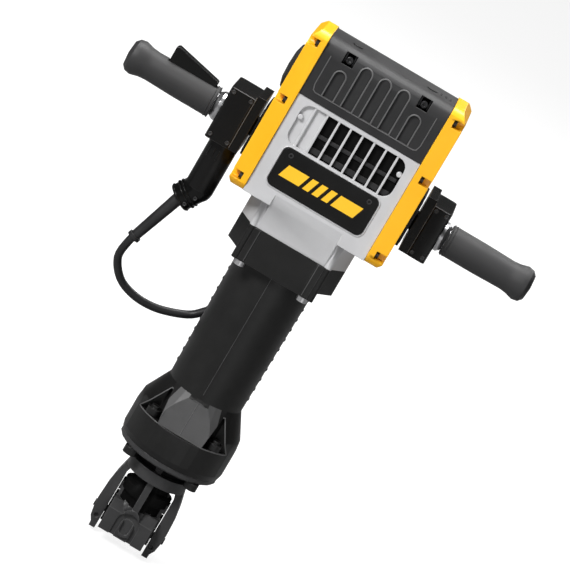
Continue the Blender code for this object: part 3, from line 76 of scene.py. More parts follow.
def principled(name):
    """A new material, its node tree and its shader."""
    made = bpy.data.materials.new(name)
    made.use_nodes = True
    return made, made.node_tree, made.node_tree.nodes["Principled BSDF"]


paper = principled("backdrop_paper")
paper[2].inputs["Base Color"].default_value = (0.26, 0.26, 0.26, 1)
paper[2].inputs["Roughness"].default_value = 0.9
paper[2].inputs["Specular IOR Level"].default_value = 0.1
paper[2].inputs["Emission Color"].default_value = (1, 1, 1, 1)
seen = paper[1].nodes.new("ShaderNodeLightPath")
glow = paper[1].nodes.new("ShaderNodeMath")
glow.operation = "MULTIPLY"
glow.inputs[1].default_value = 0.86
paper[1].links.new(seen.outputs["Is Camera Ray"], glow.inputs[0])
paper[1].links.new(glow.outputs[0], paper[2].inputs["Emission Strength"])

bpy.ops.mesh.primitive_circle_add(vertices=96, radius=FLOOR_RADIUS, fill_type="NGON", location=(0, 0, FLOOR_Z))
floor = bpy.context.object
floor.name = "floor"
bpy.ops.object.mode_set(mode="EDIT")
bpy.ops.mesh.select_all(action="SELECT")
for k in range(1, 9):
    turn = math.radians(90 * k / 8)
    before = math.radians(90 * (k - 1) / 8)
    out = WALL_CURVE * (math.sin(turn) - math.sin(before))
    up = WALL_CURVE * (math.cos(before) - math.cos(turn))
    reach = FLOOR_RADIUS + WALL_CURVE * math.sin(before)
    bpy.ops.mesh.select_mode(type="EDGE")
    bpy.ops.mesh.select_all(action="DESELECT")
    bpy.ops.mesh.select_non_manifold()
    bpy.ops.mesh.extrude_edges_move(TRANSFORM_OT_translate={"value": (0, 0, up)})
    grow = (reach + out) / reach
    bpy.ops.transform.resize(value=(grow, grow, 1), center_override=(0, 0, 0))
bpy.ops.mesh.extrude_edges_move(TRANSFORM_OT_translate={"value": (0, 0, 8)})
bpy.ops.mesh.select_all(action="SELECT")
bpy.ops.mesh.normals_make_consistent(inside=True)
bpy.ops.object.mode_set(mode="OBJECT")
bpy.ops.object.shade_smooth()
bpy.ops.object.transform_apply(location=True, rotation=True, scale=True)
floor.data.materials.append(paper[0])

for name, place, aim, width, height, watts in (
    ("key_light", (-2.6, -3.4, 3.2), (0, 0, 0.45), 1.5, 1.5, 270),
    ("fill_light", (1.6, -3.8, 0.5), (0, 0, 0.45), 1.8, 1.8, 40),
    ("top_light", (-0.4, 0.6, 4.2), (0, 0, 0.4), 2.0, 2.0, 190),
    ("back_light", (1.5, 3.6, 2.6), (0, 0, 0.4), 2.0, 2.0, 60),
):
    bpy.ops.object.light_add(type="AREA", location=place)
    lamp = bpy.context.object
    lamp.name = name
    lamp.data.shape = "RECTANGLE"
    lamp.data.size = width
    lamp.data.size_y = height
    lamp.data.energy = watts
    lamp.rotation_euler = (Vector(aim) - Vector(place)).to_track_quat("-Z", "Y").to_euler()

world = bpy.data.worlds.new("studio_air")
world.use_nodes = True
world.node_tree.nodes["Background"].inputs["Color"].default_value = (1, 1, 1, 1)
world.node_tree.nodes["Background"].inputs["Strength"].default_value = 0.1
bpy.context.scene.world = world
bpy.context.scene.view_settings.view_transform = "Standard"

# ------------------------------------------------------------------------------ camera
# A long lens looks slightly down on the tool from in front, rolled so that the tool leans
# to the upper right.
CAMERA_PITCH = math.radians(13.5)
CAMERA_ROLL = math.radians(30.5)
CAMERA_DISTANCE = 4.537
AIM = Vector((0.019, 0, 0.40713))
look = Vector((0, math.cos(CAMERA_PITCH), -math.sin(CAMERA_PITCH)))
level_up = Vector((0, math.sin(CAMERA_PITCH), math.cos(CAMERA_PITCH)))
right = Vector((1, 0, 0)) * math.cos(CAMERA_ROLL) + level_up * math.sin(CAMERA_ROLL)
up = level_up * math.cos(CAMERA_ROLL) - Vector((1, 0, 0)) * math.sin(CAMERA_ROLL)
bpy.ops.object.camera_add()
camera = bpy.context.object
camera.name = "camera"
camera.data.lens = 217.9
camera.data.sensor_width = 36
camera.data.clip_end = 60
turned = Matrix((right, up, -look)).transposed().to_4x4()
camera.matrix_world = Matrix.Translation(AIM - look * CAMERA_DISTANCE) @ turned
bpy.context.scene.camera = camera

# ------------------------------------------------------------------------------ cord
# A rubber-sheathed three-core mains lead, 11.4 mm thick. It leaves the strain relief under
# the left handle, hangs in a loop, and goes to a hank of five and a half turns, tied
# behind the barrel. It is one tube along its own centreline.
CORD = 11.4 * MM
HANK_FOLD = 35 * MM
HANK_FRONT = 62 * MM
HANK_MIDDLE_Z = 330.4 * MM
HANK_HALF = 39 * MM


def shader_node(tree, kind, **values):
    """A new shader node, with some of its settings made."""
    node = tree.nodes.new(kind)
    for key, value in values.items():
        setattr(node, key, value)
    return node


def grain_group():
    """What all surfaces share: fine grain, slow unevenness, dust on top, and rounded edges that take a lighter
    colour, partly wear and partly painted highlight.
    """
    group = bpy.data.node_groups.new("surface_grain", "ShaderNodeTree")
    for name, usual in (("Grain Size", 900.0), ("Patch Size", 25.0), ("Dust", 0.15), ("Edge Radius", 0.001)):
        socket = group.interface.new_socket(name=name, in_out="INPUT", socket_type="NodeSocketFloat")
        socket.default_value = usual
    for name in ("Grain", "Patches", "Dust", "Edge"):
        group.interface.new_socket(name=name, in_out="OUTPUT", socket_type="NodeSocketFloat")
    group.interface.new_socket(name="Rounded", in_out="OUTPUT", socket_type="NodeSocketVector")
    enter = group.nodes.new("NodeGroupInput")
    leave = group.nodes.new("NodeGroupOutput")
    place = group.nodes.new("ShaderNodeTexCoord")
    fine = shader_node(group, "ShaderNodeTexNoise")
    fine.inputs["Detail"].default_value = 3
    slow = shader_node(group, "ShaderNodeTexNoise")
    slow.inputs["Detail"].default_value = 5
    slow.inputs["Roughness"].default_value = 0.65
    facing = group.nodes.new("ShaderNodeNewGeometry")
    upward = group.nodes.new("ShaderNodeSeparateXYZ")
    lying = shader_node(group, "ShaderNodeMath", operation="MULTIPLY_ADD")
    lying.inputs[1].default_value = 0.5
    lying.inputs[2].default_value = 0.5
    spread = shader_node(group, "ShaderNodeMath", operation="MULTIPLY")
    amount = shader_node(group, "ShaderNodeMath", operation="MULTIPLY")
    rounding = shader_node(group, "ShaderNodeBevel", samples=6)
    turned_by = shader_node(group, "ShaderNodeVectorMath", operation="DOT_PRODUCT")
    # Edge mask: where the rounded normal turns from the face. With the patches it lightens edges, partly wear
    # and partly a painted highlight for the light that rounded edges catch.
    edge = group.nodes.new("ShaderNodeMapRange")
    edge.inputs["From Min"].default_value = 0.985
    edge.inputs["From Max"].default_value = 0.8
    rubbed_and_highlit = shader_node(group, "ShaderNodeMath", operation="MULTIPLY")
    link = group.links.new
    link(place.outputs["Object"], fine.inputs["Vector"])
    link(place.outputs["Object"], slow.inputs["Vector"])
    link(enter.outputs["Grain Size"], fine.inputs["Scale"])
    link(enter.outputs["Patch Size"], slow.inputs["Scale"])
    link(enter.outputs["Edge Radius"], rounding.inputs["Radius"])
    link(facing.outputs["Normal"], upward.inputs[0])
    link(upward.outputs["Z"], lying.inputs[0])
    link(lying.outputs[0], spread.inputs[0])
    link(slow.outputs["Fac"], spread.inputs[1])
    link(spread.outputs[0], amount.inputs[0])
    link(enter.outputs["Dust"], amount.inputs[1])
    link(rounding.outputs["Normal"], turned_by.inputs[0])
    link(facing.outputs["Normal"], turned_by.inputs[1])
    link(turned_by.outputs["Value"], edge.inputs["Value"])
    link(edge.outputs["Result"], rubbed_and_highlit.inputs[0])
    link(slow.outputs["Fac"], rubbed_and_highlit.inputs[1])
    link(fine.outputs["Fac"], leave.inputs["Grain"])
    link(slow.outputs["Fac"], leave.inputs["Patches"])
    link(amount.outputs[0], leave.inputs["Dust"])
    link(rubbed_and_highlit.outputs[0], leave.inputs["Edge"])
    link(rounding.outputs["Normal"], leave.inputs["Rounded"])
    return group


surface_grain = grain_group()


def surface(
    name, dark, light, rough, metal=0.0, grain=900.0, depth=0.00008, dust=0.15, patch=25.0, edge=0.001,
    edge_wear_and_highlight=(0.1, 0.1, 0.1), shine=0.5,
):
    """A finish with fine grain, slow changes in colour and gloss, dust on top, and edges in a lighter colour
    that is part wear and part painted highlight.
    """
    made, tree, shader = principled(name)
    link = tree.links.new
    texture = tree.nodes.new("ShaderNodeGroup")
    texture.node_tree = surface_grain
    texture.inputs["Grain Size"].default_value = grain
    texture.inputs["Patch Size"].default_value = patch
    texture.inputs["Dust"].default_value = dust
    texture.inputs["Edge Radius"].default_value = edge
    colour = shader_node(tree, "ShaderNodeMix", data_type="RGBA")
    colour.inputs[6].default_value = (*dark, 1)
    colour.inputs[7].default_value = (*light, 1)
    # Edges are mixed towards a lighter colour: partly wear, partly painted highlight.
    rubbed_and_highlit = shader_node(tree, "ShaderNodeMix", data_type="RGBA")
    rubbed_and_highlit.inputs[7].default_value = (*edge_wear_and_highlight, 1)
    dusted = shader_node(tree, "ShaderNodeMix", data_type="RGBA")
    dusted.inputs[7].default_value = (0.42, 0.40, 0.37, 1)
    gloss = tree.nodes.new("ShaderNodeMapRange")
    gloss.inputs["From Min"].default_value = 0.3
    gloss.inputs["From Max"].default_value = 0.7
    gloss.inputs["To Min"].default_value = rough[0]
    gloss.inputs["To Max"].default_value = rough[1]
    relief = tree.nodes.new("ShaderNodeBump")
    relief.inputs["Strength"].default_value = 0.6
    relief.inputs["Distance"].default_value = depth
    link(texture.outputs["Patches"], colour.inputs[0])
    link(colour.outputs[2], rubbed_and_highlit.inputs[6])
    link(texture.outputs["Edge"], rubbed_and_highlit.inputs[0])
    link(rubbed_and_highlit.outputs[2], dusted.inputs[6])
    link(texture.outputs["Dust"], dusted.inputs[0])
    link(dusted.outputs[2], shader.inputs["Base Color"])
    link(texture.outputs["Patches"], gloss.inputs["Value"])
    link(gloss.outputs["Result"], shader.inputs["Roughness"])
    link(texture.outputs["Grain"], relief.inputs["Height"])
    link(texture.outputs["Rounded"], relief.inputs["Normal"])
    link(relief.outputs["Normal"], shader.inputs["Normal"])
    shader.inputs["Metallic"].default_value = metal
    shader.inputs["Specular IOR Level"].default_value = shine
    return made


cord_sheath = surface(
    "cord_sheath", (0.007, 0.007, 0.008), (0.018, 0.018, 0.019), (0.42, 0.6), grain=1400, dust=0.02,
    edge_wear_and_highlight=(0.018, 0.018, 0.019), shine=0.35,
)

lean = Vector((-0.3256, 0, -0.9455))
cord_exit = Vector((-185.76, 0, 358.15)) * MM
hang = [
    cord_exit + lean * 0.3 * MM,
    cord_exit + lean * 7 * MM,
    Vector((-190.5, 9, 323)) * MM,
    Vector((-174, 24, 295)) * MM,
    Vector((-148, 37, 281)) * MM,
    Vector((-119, 50, 277)) * MM,
    Vector((-92, 62, 281)) * MM,
    Vector((-69, 69, 290)) * MM,
    Vector((-53, 69, 306)) * MM,
]


def through(points, step):
    """A smooth line through the points, with a point about every step."""
    ends = [2 * points[0] - points[1]] + points + [2 * points[-1] - points[-2]]
    line = []
    for k in range(1, len(ends) - 2):
        a, b, c, d = ends[k - 1 : k + 3]
        count = max(2, round((c - b).length / step))
        for i in range(count):
            t = i / count
            bend = (2 * a - 5 * b + 4 * c - d) * t**2 + (3 * b - a - 3 * c + d) * t**3
            line.append(0.5 * (2 * b + (c - a) * t + bend))
    return line + [points[-1]]


def hank_point(lane_r, lane_y, share):
    """A point on one turn: up the left run, over the top, down the right run, round the bottom."""
    straight = 2 * HANK_HALF
    fold = math.pi * lane_r
    at = share * 2 * (straight + fold)
    y = HANK_FRONT + (lane_y + 0.5) * CORD
    if at < straight:
        return Vector((-lane_r, y, HANK_MIDDLE_Z - HANK_HALF + at))
    at -= straight
    if at < fold:
        turn = math.pi - at / lane_r
        return Vector((lane_r * math.cos(turn), y, HANK_MIDDLE_Z + HANK_HALF + lane_r * math.sin(turn)))
    at -= fold
    if at < straight:
        return Vector((lane_r, y, HANK_MIDDLE_Z + HANK_HALF - at))
    turn = -(at - straight) / lane_r
    return Vector((lane_r * math.cos(turn), y, HANK_MIDDLE_Z - HANK_HALF + lane_r * math.sin(turn)))


INNER = HANK_FOLD
OUTER = HANK_FOLD + CORD
lanes = [(OUTER, 0), (INNER, 0), (OUTER, 1), (INNER, 1), (INNER, 2), (OUTER, 2)]
wound = []
TURN_STEPS = 56
for turn_number, (lane_r, lane_y) in enumerate(lanes):
    last = turn_number == len(lanes) - 1
    next_r, next_y = lanes[min(turn_number + 1, len(lanes) - 1)]
    for k in range(TURN_STEPS):
        share = k / TURN_STEPS
        if turn_number == 0 and share < 0.05:
            continue
        if last and share > 0.66:
            break
        move = min(1, max(0, (share - 0.72) / 0.28))
        move = move * move * (3 - 2 * move)
        wound.append(hank_point(lane_r + (next_r - lane_r) * move, lane_y + (next_y - lane_y) * move, share))
plug_top = Vector((38, 90.5, 250.5)) * MM
tail = [wound[-1], Vector((43.5, 90.5, 276)) * MM, Vector((39.5, 90.5, 262)) * MM, plug_top]
centreline = through(hang, 6 * MM) + wound[:-1] + through(tail, 6 * MM)

sheath = bpy.data.curves.new("mains_cord", "CURVE")
sheath.dimensions = "3D"
sheath.bevel_depth = CORD / 2
sheath.bevel_resolution = 4
sheath.use_fill_caps = True
run = sheath.splines.new("POLY")
run.points.add(len(centreline) - 1)
for spot, point in zip(run.points, centreline):
    spot.co = (*point, 1)
run.use_smooth = True
mains_cord = bpy.data.objects.new("mains_cord", sheath)
bpy.context.scene.collection.objects.link(mains_cord)
sheath.materials.append(cord_sheath)
mains_cord.select_set(True)
bpy.context.view_layer.objects.active = mains_cord
bpy.ops.object.convert(target="MESH")
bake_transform(mains_cord)
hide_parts("cord", "cord_hank")

# ------------------------------------------------------------------------- tool holder
# The forged steel nose that takes the hexagonal shank, with the two ears that carry the
# latch and the plate that bolts up to the barrel. Its outside is left dark grey, the
# hollows round the stem are painted near-black as painted shade, and a dust ring closes the gap under the
# plate.
cast_black = surface(
    "cast_black", (0.004, 0.004, 0.004), (0.010, 0.010, 0.010), (0.34, 0.48), grain=700, depth=0.00016,
    dust=0.012, edge=0.0014, edge_wear_and_highlight=(0.10, 0.10, 0.10), shine=0.3,
)


def only(obj):
    """Make this the one selected and active piece."""
    bpy.ops.object.select_all(action="DESELECT")
    obj.select_set(True)
    bpy.context.view_layer.objects.active = obj


def take(node, name):
    """A welded copy of one of the frame's solids, ready to be finished."""
    made = bpy.data.objects.new(name, bpy.data.objects[node].data.copy())
    made.data.materials.clear()
    bpy.context.scene.collection.objects.link(made)
    only(made)
    bpy.ops.object.mode_set(mode="EDIT")
    bpy.ops.mesh.select_all(action="SELECT")
    bpy.ops.mesh.remove_doubles(threshold=0.00002)
    bpy.ops.mesh.dissolve_limited(angle_limit=math.radians(1))
    bpy.ops.object.mode_set(mode="OBJECT")
    return made


def soften(obj, width=0.0, segments=2, angle=32):
    """Round every edge that is sharper than the angle, and shade the rest smooth."""
    only(obj)
    if width:
        edges = obj.modifiers.new("edges", "BEVEL")
        edges.width = width
        edges.segments = segments
        edges.limit_method = "ANGLE"
        edges.angle_limit = math.radians(angle)
        edges.use_clamp_overlap = False
        bpy.ops.object.modifier_apply(modifier="edges")
    bpy.ops.object.shade_smooth_by_angle(angle=math.radians(angle))
    even = obj.modifiers.new("even", "WEIGHTED_NORMAL")
    even.keep_sharp = True
    bpy.ops.object.modifier_apply(modifier="even")
    return obj


def lay(obj, finish, body, slot, *nodes):
    """Give a finished piece its material, its body and the solids that it stands for."""
    obj.data.materials.clear()
    obj.data.materials.append(finish)
    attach(obj, body)
    if nodes:
        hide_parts(*nodes)
    return obj


def block(name, low, high):
    """A box between two corners, given in millimetres."""
    low, high = Vector(low) * MM, Vector(high) * MM
    bpy.ops.object.select_all(action="DESELECT")
    bpy.ops.mesh.primitive_cube_add(size=1, location=(low + high) / 2)
    made = bpy.context.object
    made.name = name
    made.scale = high - low
    bpy.ops.object.transform_apply(location=True, rotation=True, scale=True)
    return made


def drum(name, at, radius, length, axis="Z", sides=24):
    """A round bar that starts at a point and runs along an axis, in millimetres."""
    along = {"X": Vector((1, 0, 0)), "Y": Vector((0, 1, 0)), "Z": Vector((0, 0, 1))}[axis]
    if length < 0:
        along, length = -along, -length
    bpy.ops.object.select_all(action="DESELECT")
    bpy.ops.mesh.primitive_cylinder_add(vertices=sides, radius=radius * MM, depth=length * MM)
    made = bpy.context.object
    made.name = name
    made.data.transform(Matrix.Translation((0, 0, length * MM / 2)))
    made.data.transform(along.to_track_quat("Z", "Y").to_matrix().to_4x4())
    made.data.transform(Matrix.Translation(Vector(at) * MM))
    made.matrix_world = Matrix.Identity(4)
    return made


def carve(target, cutter, how="DIFFERENCE"):
    """Cut one piece with another, or join them into one skin."""
    only(target)
    cut = target.modifiers.new("cut", "BOOLEAN")
    cut.operation = how
    cut.object = cutter
    cut.solver = "EXACT"
    bpy.ops.object.modifier_apply(modifier="cut")
    bpy.data.objects.remove(cutter)
    return target


def gather(name, pieces):
    """Several loose pieces of one kind as one object."""
    only(pieces[0])
    for piece in pieces:
        piece.select_set(True)
    bpy.ops.object.join()
    pieces[0].name = name
    return pieces[0]


def bead(name, points, radius, closed=False, finish=None, body="housing", slot="black_casting"):
    """A thin raised line that follows points given in millimetres."""
    line = bpy.data.curves.new(name, "CURVE")
    line.dimensions = "3D"
    line.bevel_depth = radius * MM
    line.bevel_resolution = 1
    line.use_fill_caps = not closed
    spline = line.splines.new("POLY")
    spline.points.add(len(points) - 1)
    for spot, point in zip(spline.points, points):
        spot.co = (*(Vector(point) * MM), 1)
    spline.use_cyclic_u = closed
    made = bpy.data.objects.new(name, line)
    bpy.context.scene.collection.objects.link(made)
    only(made)
    bpy.ops.object.convert(target="MESH")
    made = bpy.context.object
    bpy.ops.object.shade_smooth()
    if finish:
        lay(made, finish, body, slot)
    return made


def socket_head(at, axis, radius, length):
    """The head of a hexagon-socket screw, standing out from a point along an axis."""
    head = drum("socket_head", at, radius, length, axis, 20)
    bite = math.copysign(0.6 * abs(length), length)
    start = list(at)
    start["XYZ".index(axis)] += length - bite
    carve(head, drum("bit", start, 0.55 * radius, 1.5 * bite, axis, 6))
    return soften(head, 0.05 * radius * MM, 1, 40)


forged_grey = surface(
    "forged_grey", (0.022, 0.022, 0.023), (0.040, 0.040, 0.041), (0.40, 0.56), grain=500, depth=0.0002,
    dust=0.02, edge=0.0016, edge_wear_and_highlight=(0.15, 0.15, 0.15), shine=0.4,
)
black_and_painted_shade = surface(
    "black_and_painted_shade", (0.002, 0.002, 0.002), (0.004, 0.004, 0.004), (0.6, 0.75), grain=600, depth=0.0001,
    dust=0.0, edge=0.001, edge_wear_and_highlight=(0.015, 0.015, 0.015), shine=0.08,
)
holder = take("tool_holder", "nose_and_plate")
ARCH_R, ARCH_Z = 16.5, 22
INNER_R, INNER_Z = 9.5, 20
arch = drum("arch", (0, -42, ARCH_Z), ARCH_R, 10, "Y", 32)
carve(arch, block("arch_legs", (-ARCH_R, -42, -3), (ARCH_R, -32, ARCH_Z)), "UNION")
inner_arch = drum("inner_arch", (0, -43, INNER_Z), INNER_R, 12, "Y", 28)
carve(inner_arch, block("inner_legs", (-INNER_R, -43, -3), (INNER_R, -31, INNER_Z)), "UNION")
carve(arch, inner_arch)
carve(arch, block("upper_part", (-20, -50, 39), (20, -20, 60)))
carve(holder, arch)
for low_x, high_x in ((-20, -12.2), (12.2, 20)):
    wedge = block("wedge", (low_x, -36, 32.1), (high_x, -20, 48.1))
    for corner in wedge.data.vertices:
        if corner.co.y > -30 * MM and corner.co.z < 40 * MM:
            corner.co.y, corner.co.z = -28 * MM, 40.1 * MM
    carve(holder, wedge)
soften(holder)
lay(holder, forged_grey, "housing", "dark_steel", "tool_holder")
# The faces round the stem, all but the rib, take the near-black finish: painted shade in the hollows of the
# same grey steel.
holder.data.materials.append(black_and_painted_shade)
NOSE_TOP, PLATE_BOTTOM = 46, 124
for face in holder.data.polygons:
    on_rib = abs(face.center.x) < 4.7 * MM and face.center.y < -33 * MM
    stem_in_painted_shade = NOSE_TOP * MM < face.center.z < PLATE_BOTTOM * MM and abs(face.center.x) < 36 * MM
    if stem_in_painted_shade and not on_rib:
        face.material_index = 1
dust_ring = soften(drum("dust_ring", (0, 0, 104), 35.4, 9.3, "Z", 48), 0.001)
lay(dust_ring, black_and_painted_shade, "housing", "dark_steel")
for node in ("holder_bolt_1", "holder_bolt_2", "holder_bolt_3", "holder_bolt_4"):
    lay(soften(take(node, node + "_finished")), cast_black, "housing", "dark_steel", node)

# ------------------------------------------------------------------------------- latch
# A forged fork that swings forward on two pins and keeps the steel in. Its legs are left as
# forged, with a blind punched mark in the front of each foot.
fork = take("latch_fork", "latch_fork_finished")
for x in (-42.5, 42.5):
    carve(fork, drum("mark", (x, -20, 6), 3.6, 10, "Y", 20))
soften(fork)
lay(fork, forged_grey, "latch", "dark_steel", "latch_fork")
for side in ("left", "right"):
    pin = "latch_pin_" + side
    lay(soften(take(pin, pin + "_finished")), cast_black, frame["nodes"][pin]["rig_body"], "steel", pin)

# ------------------------------------------------------------------- barrel and collar
# One aluminium casting in textured black: the flange that the holder bolts to, a cone with
# four bolt pockets and a flat web in front, the ribbed tube, and the collar above it. The web, the parting
# lines, the pocket edges and the collar ridges take lighter greys as painted highlights.
painted_highlight_grey = surface(
    "painted_highlight_grey", (0.045, 0.045, 0.046), (0.075, 0.075, 0.076), (0.42, 0.55), grain=700, depth=0.00016,
    dust=0.02, edge=0.0012, edge_wear_and_highlight=(0.15, 0.15, 0.15), shine=0.4,
)
painted_highlight_line = surface(
    "painted_highlight_line", (0.085, 0.085, 0.086), (0.125, 0.125, 0.126), (0.36, 0.5), grain=1300, depth=0.00006,
    dust=0.02, edge=0.0004, edge_wear_and_highlight=(0.14, 0.14, 0.14),
)
bright_steel = surface(
    "bright_steel", (0.45, 0.45, 0.46), (0.62, 0.62, 0.63), (0.24, 0.4), metal=1.0, grain=600,
    depth=0.00003, dust=0.03, edge=0.0005, edge_wear_and_highlight=(0.8, 0.8, 0.8),
)
FLANGE_TOP = 175.3
CONE_TOP = 228.3
TUBE_TOP = 422.3
WEB_HALF_X = 33
WEB_TOP = CONE_TOP - 5
WEB_TOP_Y, WEB_BOTTOM_Y = -54.5, -67.5
barrel = take("barrel_housing", "barrel")
facet = block("facet", (-WEB_HALF_X - 0.2, -85, FLANGE_TOP), (WEB_HALF_X + 0.2, WEB_TOP_Y, WEB_TOP))
for corner in facet.data.vertices:
    if corner.co.y > -60 * MM and corner.co.z < 200 * MM:
        corner.co.y = WEB_BOTTOM_Y * MM
carve(barrel, facet)
soften(barrel, 0, 2, 13)
lay(barrel, cast_black, "housing", "black_casting", "barrel_housing")
# The front web faces up into the light and is painted a lighter grey: a painted highlight on the same black
# casting.
barrel.data.materials.append(painted_highlight_grey)
for face in barrel.data.polygons:
    web_in_painted_highlight = FLANGE_TOP * MM < face.center.z < (WEB_TOP + 1) * MM and abs(face.center.x) < WEB_HALF_X * MM
    if web_in_painted_highlight and face.normal.y < -0.6:
        face.material_index = 1


def barrel_r(z):
    """The barrel's outer radius at a height, in millimetres."""
    steps = ((FLANGE_TOP, 75), (FLANGE_TOP + 15.9, 73), (CONE_TOP, 54), (TUBE_TOP, 57))
    if z <= FLANGE_TOP:
        return 75
    for (low, r_low), (high, r_high) in zip(steps, steps[1:]):
        if z <= high:
            return r_low + (r_high - r_low) * (z - low) / (high - low)
    return 57


def on_barrel(x, z, proud=0.0):
    """A point on the front of the barrel's skin, or standing a little proud of it."""
    radius = barrel_r(z) + proud
    return (x, -math.sqrt(max(radius**2 - x**2, 0)), z)


# The pocket edges are beads in a light grey: painted highlights along the edges.
for side in (-1, 1):
    corners = ((33, FLANGE_TOP + 0.4), (66, FLANGE_TOP + 0.4), (40.5, FLANGE_TOP + 45), (37.5, FLANGE_TOP + 45))
    outline = []
    for (x0, z0), (x1, z1) in zip(corners, corners[1:]):
        for k in range(10):
            outline.append(on_barrel(side * (x0 + (x1 - x0) * k / 10), z0 + (z1 - z0) * k / 10, -0.2))
    bead("pocket_edge_right" if side > 0 else "pocket_edge_left", outline, 0.9, finish=painted_highlight_line)
seam = [(0, -barrel_r(z) - 0.1, z) for z in range(236, 422, 12)] + [(0, -57.1, 422)]
bead("parting_line", seam, 0.4, finish=painted_highlight_grey)
web_seam = [(0, WEB_BOTTOM_Y - 0.1, FLANGE_TOP + 0.5), (0, WEB_TOP_Y - 0.2, WEB_TOP)]
bead("web_parting_line", web_seam, 0.5, finish=painted_highlight_line)
FIN_PITCH = 15.8
fins = []
for k in range(11):
    z = 248 + FIN_PITCH * k
    sunk_r = barrel_r(z) - 0.8
    turns = [math.radians(-6 + 192 * step / 24) for step in range(25)]
    fins.append(bead("fin", [(sunk_r * math.cos(turn), sunk_r * math.sin(turn), z) for turn in turns], 1.9))
lay(gather("tube_fins", fins), cast_black, "housing", "black_casting")
# The collar ridges are in the lighter grey: painted highlights along their edges.
ridges = []
for x in (-57, -44, 44, 57):
    ridges.append(bead("ridge", [(x, -73.3, 424), (x, -73.3, 470)], 1.3))
lay(gather("collar_lines", ridges), painted_highlight_grey, "housing", "black_casting")
for k in range(1, 5):
    node = f"collar_bolt_{k}"
    lay(soften(take(node, node + "_finished")), bright_steel, "housing", "steel", node)

# ----------------------------------------------------------------------- motor housing
# A die-cast shell in silver lacquer that holds the motor and the gears. The bars of its
# vents are cast in, and a black sheet stands close behind them, front and back, as painted shade inside the
# vents.
silver_paint = surface(
    "silver_paint", (0.54, 0.54, 0.55), (0.64, 0.64, 0.65), (0.34, 0.46), metal=0.2, grain=1500,
    depth=0.00006, dust=0.03, edge=0.0016, edge_wear_and_highlight=(0.85, 0.85, 0.85),
)
cover_black = surface(
    "cover_black", (0.012, 0.012, 0.013), (0.022, 0.022, 0.023), (0.44, 0.56), grain=1300, depth=0.00012,
    dust=0.03, edge=0.0012, edge_wear_and_highlight=(0.12, 0.12, 0.12), shine=0.28,
)
NECK_FRONT_Y = -73
SHELL_FRONT_Y = -84.98
shell = take("motor_housing", "motor_shell")
slope = block("slope", (-50, -92, 470), (50, SHELL_FRONT_Y, 523.6))
for corner in slope.data.vertices:
    if corner.co.y > -86 * MM and corner.co.z < 500 * MM:
        corner.co.y = NECK_FRONT_Y * MM
carve(shell, slope)
soften(shell)
lay(shell, silver_paint, "housing", "silver_casting", "motor_housing")
nubs = []
for x in (-73, 73):
    nubs.append(soften(drum("nub", (x, -80, 628), 3.6, -5.2, "Y", 20), 0.0008))
lay(gather("vent_nubs", nubs), silver_paint, "housing", "silver_casting")
# Near-black sheets behind the vent bars: painted shade in the vent openings.
for name, low_y, high_y in (("air_baffle_front", -77.6, -77.1), ("air_baffle_back", 67.1, 67.6)):
    sheet = block(name, (-84, low_y, 588), (84, high_y, 650))
    lay(soften(sheet), black_and_painted_shade, "housing", "cover_plastic")
BAY_PITCH = 17.33
stripes = []
for k in range(2, 9):
    left = -76.5 + BAY_PITCH * k + 0.6
    right_end = min(left + 13.2, 74)
    stripes.append(block("stripe", (left, -80.5, 615), (right_end, -77.7, 620)))
    stripes.append(block("stripe", (left, -79.5, 593), (right_end, -77.7, 601)))
lay(soften(gather("shade_sheet_ribs", stripes), 0.0008), cover_black, "housing", "cover_plastic")

# ------------------------------------------------------------------------- label plate
# An anodised plate on the front, held by two small screws inside a raised silver rim. It
# carries a plain pattern of slanted bars in place of any name.
plate_black = surface(
    "plate_black", (0.003, 0.003, 0.003), (0.006, 0.006, 0.006), (0.30, 0.42), grain=1200, depth=0.00003,
    dust=0.01, edge=0.001, edge_wear_and_highlight=(0.08, 0.08, 0.08), shine=0.2,
)
yellow_print = surface(
    "yellow_print", (0.95, 0.50, 0.012), (1.0, 0.60, 0.02), (0.3, 0.42), grain=1200, depth=0.00003,
    dust=0.01, edge=0.0002, edge_wear_and_highlight=(1.0, 0.7, 0.1),
)
dark_steel = surface(
    "dark_steel", (0.03, 0.03, 0.032), (0.06, 0.06, 0.062), (0.34, 0.52), metal=0.8, grain=700,
    depth=0.00005, dust=0.04, edge=0.0006, edge_wear_and_highlight=(0.3, 0.3, 0.3),
)
LABEL_HALF_X, LABEL_LOW, LABEL_HIGH = 70.5, 531.3, 587.3
RIM_R = 9.4
plate = soften(take("label_plate", "front_plate"))
lay(plate, plate_black, "housing", "gloss_black", "label_plate")
rim = []
for cx, cz, start in ((1, 1, 0), (-1, 1, 90), (-1, -1, 180), (1, -1, 270)):
    for step in range(7):
        turn = math.radians(start + 15 * step)
        x = cx * (LABEL_HALF_X - 8) + RIM_R * math.cos(turn)
        z = (LABEL_HIGH - 8.5 if cz > 0 else LABEL_LOW + 8.5) + RIM_R * math.sin(turn)
        rim.append((x, -85.4, z))
bead("label_rim", rim, 1.1, closed=True, finish=silver_paint, slot="silver_casting")
BAR_LOW, BAR_HIGH = 549, 567
BAR_SLANT = 0.35
bars = []
for left, width in ((-57, 30), (-22, 9), (-8, 9), (6, 9), (20, 33)):
    bar = block("bar", (left, -87.98, BAR_LOW), (left + width, -87.7, BAR_HIGH))
    for corner in bar.data.vertices:
        corner.co.x += (corner.co.z - (BAR_LOW + BAR_HIGH) / 2 * MM) * BAR_SLANT
    bars.append(bar)
lay(gather("plate_bars", bars), yellow_print, "housing", "yellow_plastic")
screws = [socket_head((x, -87.3, 578.5), "Y", 3.4, -0.65) for x in (-58, 58)]
lay(gather("plate_screws", screws), dark_steel, "housing", "dark_steel")

